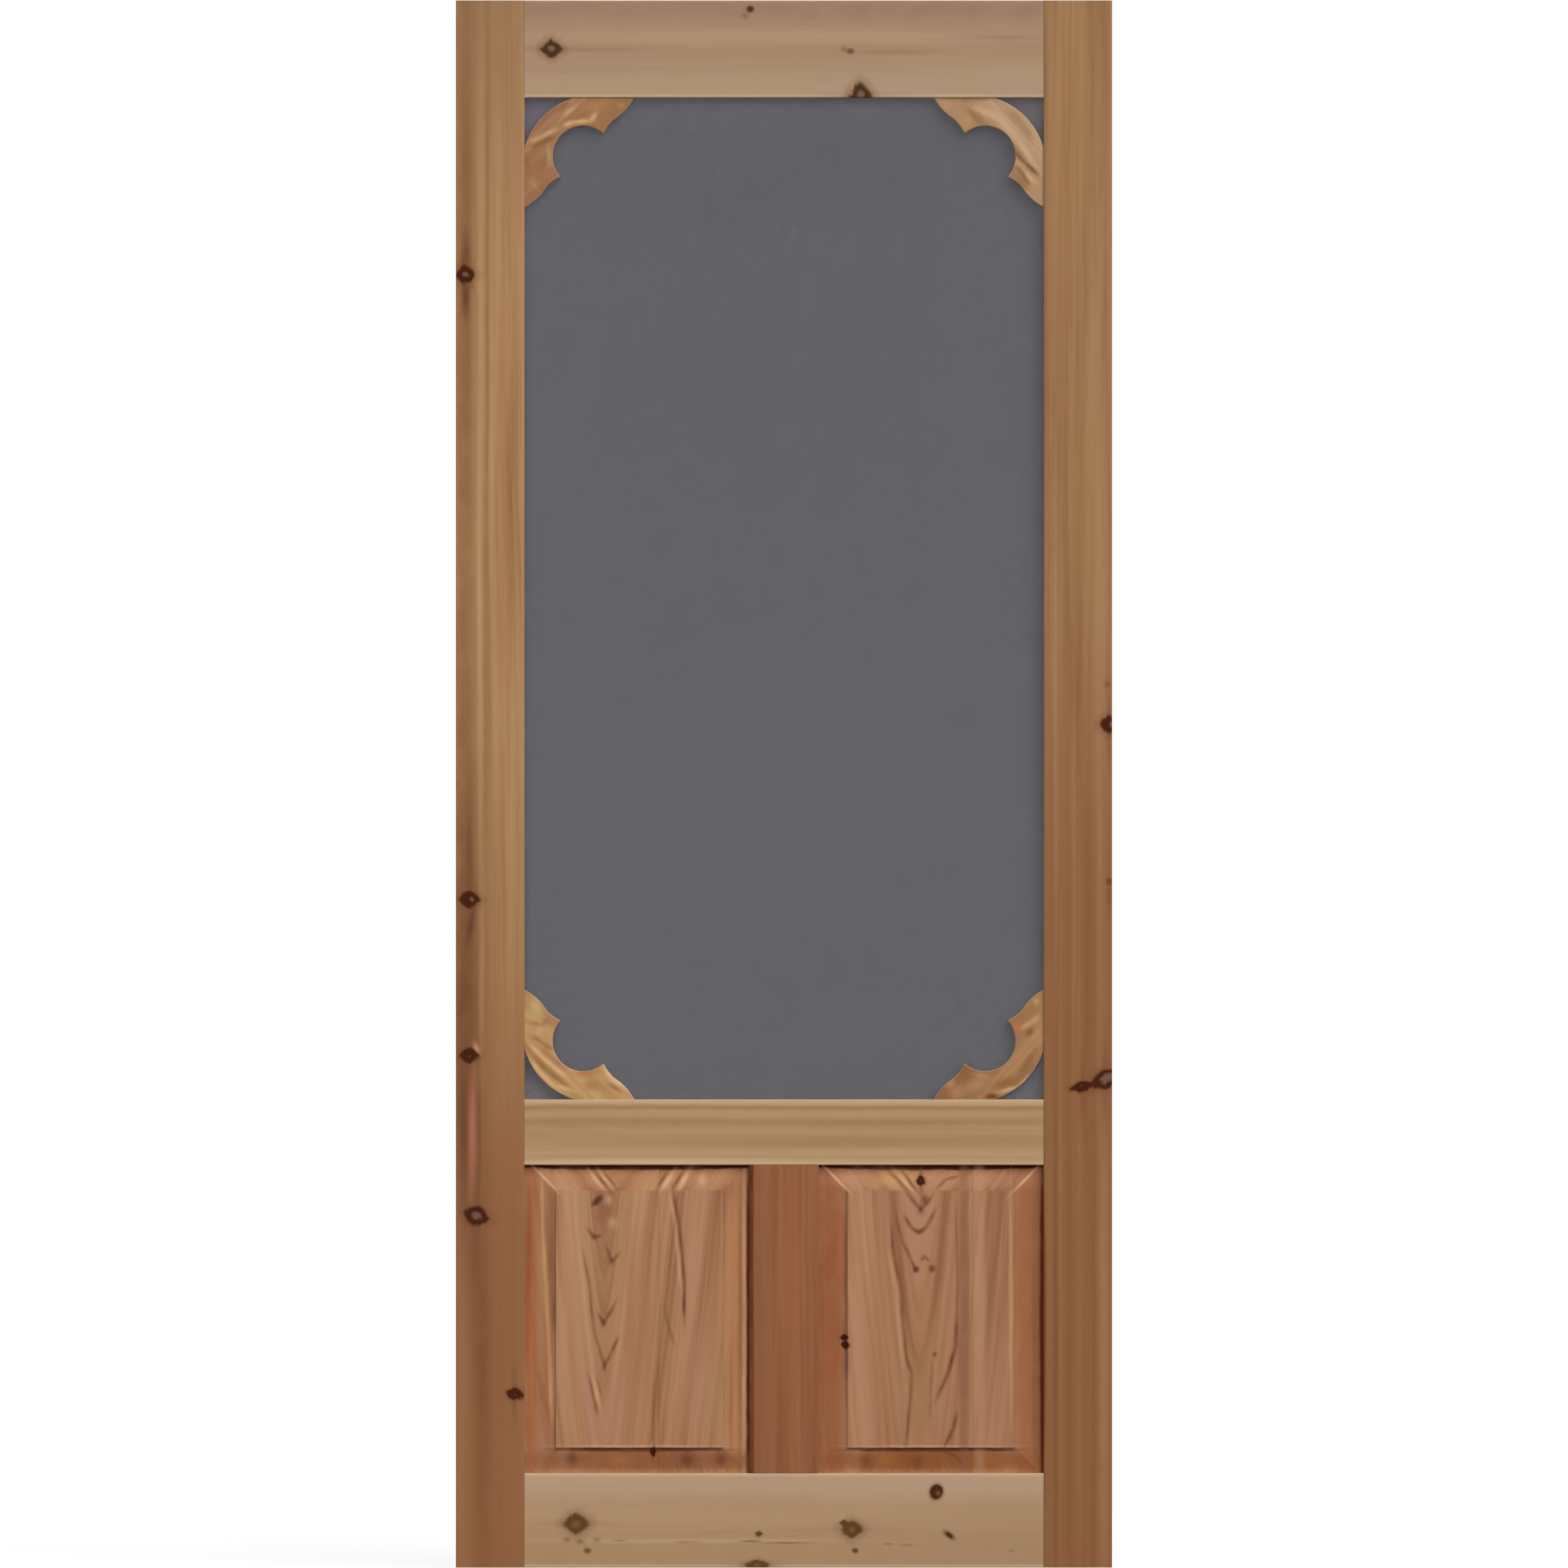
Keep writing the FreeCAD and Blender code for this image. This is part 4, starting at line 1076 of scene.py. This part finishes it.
# the way from the door to each lamp, its strength, and its softness in degrees
LAMPS = {
    "key_lamp": ((0.65, -1.0, 0.77), 2.33, 50.0),
    "front_lamp": ((-0.25, -1.0, 0.2), 0.75, 40.0),
    "back_lamp": ((-0.6, 1.0, 0.7), 3.0, 20.0),
}


def seen_as_backdrop(nodes):
    """1 for what the camera sees, straight, mirrored or through glass, and 0 for light on the door."""
    rays = [nodes.node("ShaderNodeLightPath", output=f"Is {kind} Ray")
            for kind in ("Camera", "Glossy", "Transmission")]
    return nodes.math("MAXIMUM", rays[0], nodes.math("MAXIMUM", rays[1], rays[2]))


def make_floor():
    """A pale floor that takes a soft shadow and runs out into the white backdrop."""
    bpy.ops.object.select_all(action="DESELECT")
    low, high = cad_box
    bpy.ops.mesh.primitive_plane_add(size=FLOOR_SIZE, location=(high.x / 2, 0.0, low.z - FLOOR_DROP))
    floor = bpy.context.object
    floor.name = "studio_floor"
    bpy.ops.object.transform_apply()
    material, nodes = new_material("pale_floor")
    speckle = nodes.noise(nodes.stretched(nodes.place(), SPECKLE_PACE), 3.0)
    colour = nodes.mix(0.5 + speckle * 0.5, (132, 132, 132), (138, 138, 138))
    matt = nodes.node("ShaderNodeBsdfDiffuse", None, {"Color": colour})
    glow = nodes.node("ShaderNodeEmission", None, {"Strength": seen_as_backdrop(nodes) * FLOOR_GLOW})
    both = nodes.node("ShaderNodeAddShader", None, {0: matt, 1: glow})
    nodes.node("ShaderNodeOutputMaterial", None, {"Surface": both})
    floor.data.materials.append(material)
    floor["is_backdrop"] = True


def make_lamp(name, towards_lamp, strength, softness):
    """A far soft lamp, given by the way from the door to it."""
    lamp = bpy.data.objects.new(name, bpy.data.lights.new(name, "SUN"))
    lamp.data.energy = strength
    lamp.data.angle = math.radians(softness)
    lamp.rotation_euler = Vector(towards_lamp).to_track_quat("Z", "Y").to_euler()
    bpy.context.collection.objects.link(lamp)


def make_world():
    """A white backdrop that gives the door only a faint even light."""
    world = bpy.data.worlds.new("white_studio")
    bpy.context.scene.world = world
    nodes = Nodes(world)
    strength = FILL + seen_as_backdrop(nodes) * (1 - FILL)
    backdrop = nodes.node("ShaderNodeBackground", None, {"Color": (1, 1, 1, 1), "Strength": strength})
    nodes.node("ShaderNodeOutputWorld", None, {"Surface": backdrop})


def make_camera():
    """Straight on and from far away, as in the photograph."""
    camera = bpy.data.objects.new("photo_camera", bpy.data.cameras.new("photo_camera"))
    low, high = cad_box
    camera.location = ((low.x + high.x) / 2, low.y - CAMERA_DISTANCE, (low.z + high.z) / 2)
    camera.rotation_euler = (math.pi / 2, 0, 0)
    camera.data.sensor_width = SENSOR
    camera.data.lens = SENSOR * CAMERA_DISTANCE / PHOTO_WIDTH
    camera.data.clip_end = 2 * CAMERA_DISTANCE
    bpy.context.collection.objects.link(camera)
    bpy.context.scene.camera = camera


make_floor()
for lamp_name, settings in LAMPS.items():
    make_lamp(lamp_name, *settings)
make_world()
make_camera()
bpy.context.scene.view_settings.view_transform = "Standard"

boxes = {"cad": cad_box, "visual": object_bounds()}
{name: [list(corner) for corner in box] for name, box in boxes.items()}
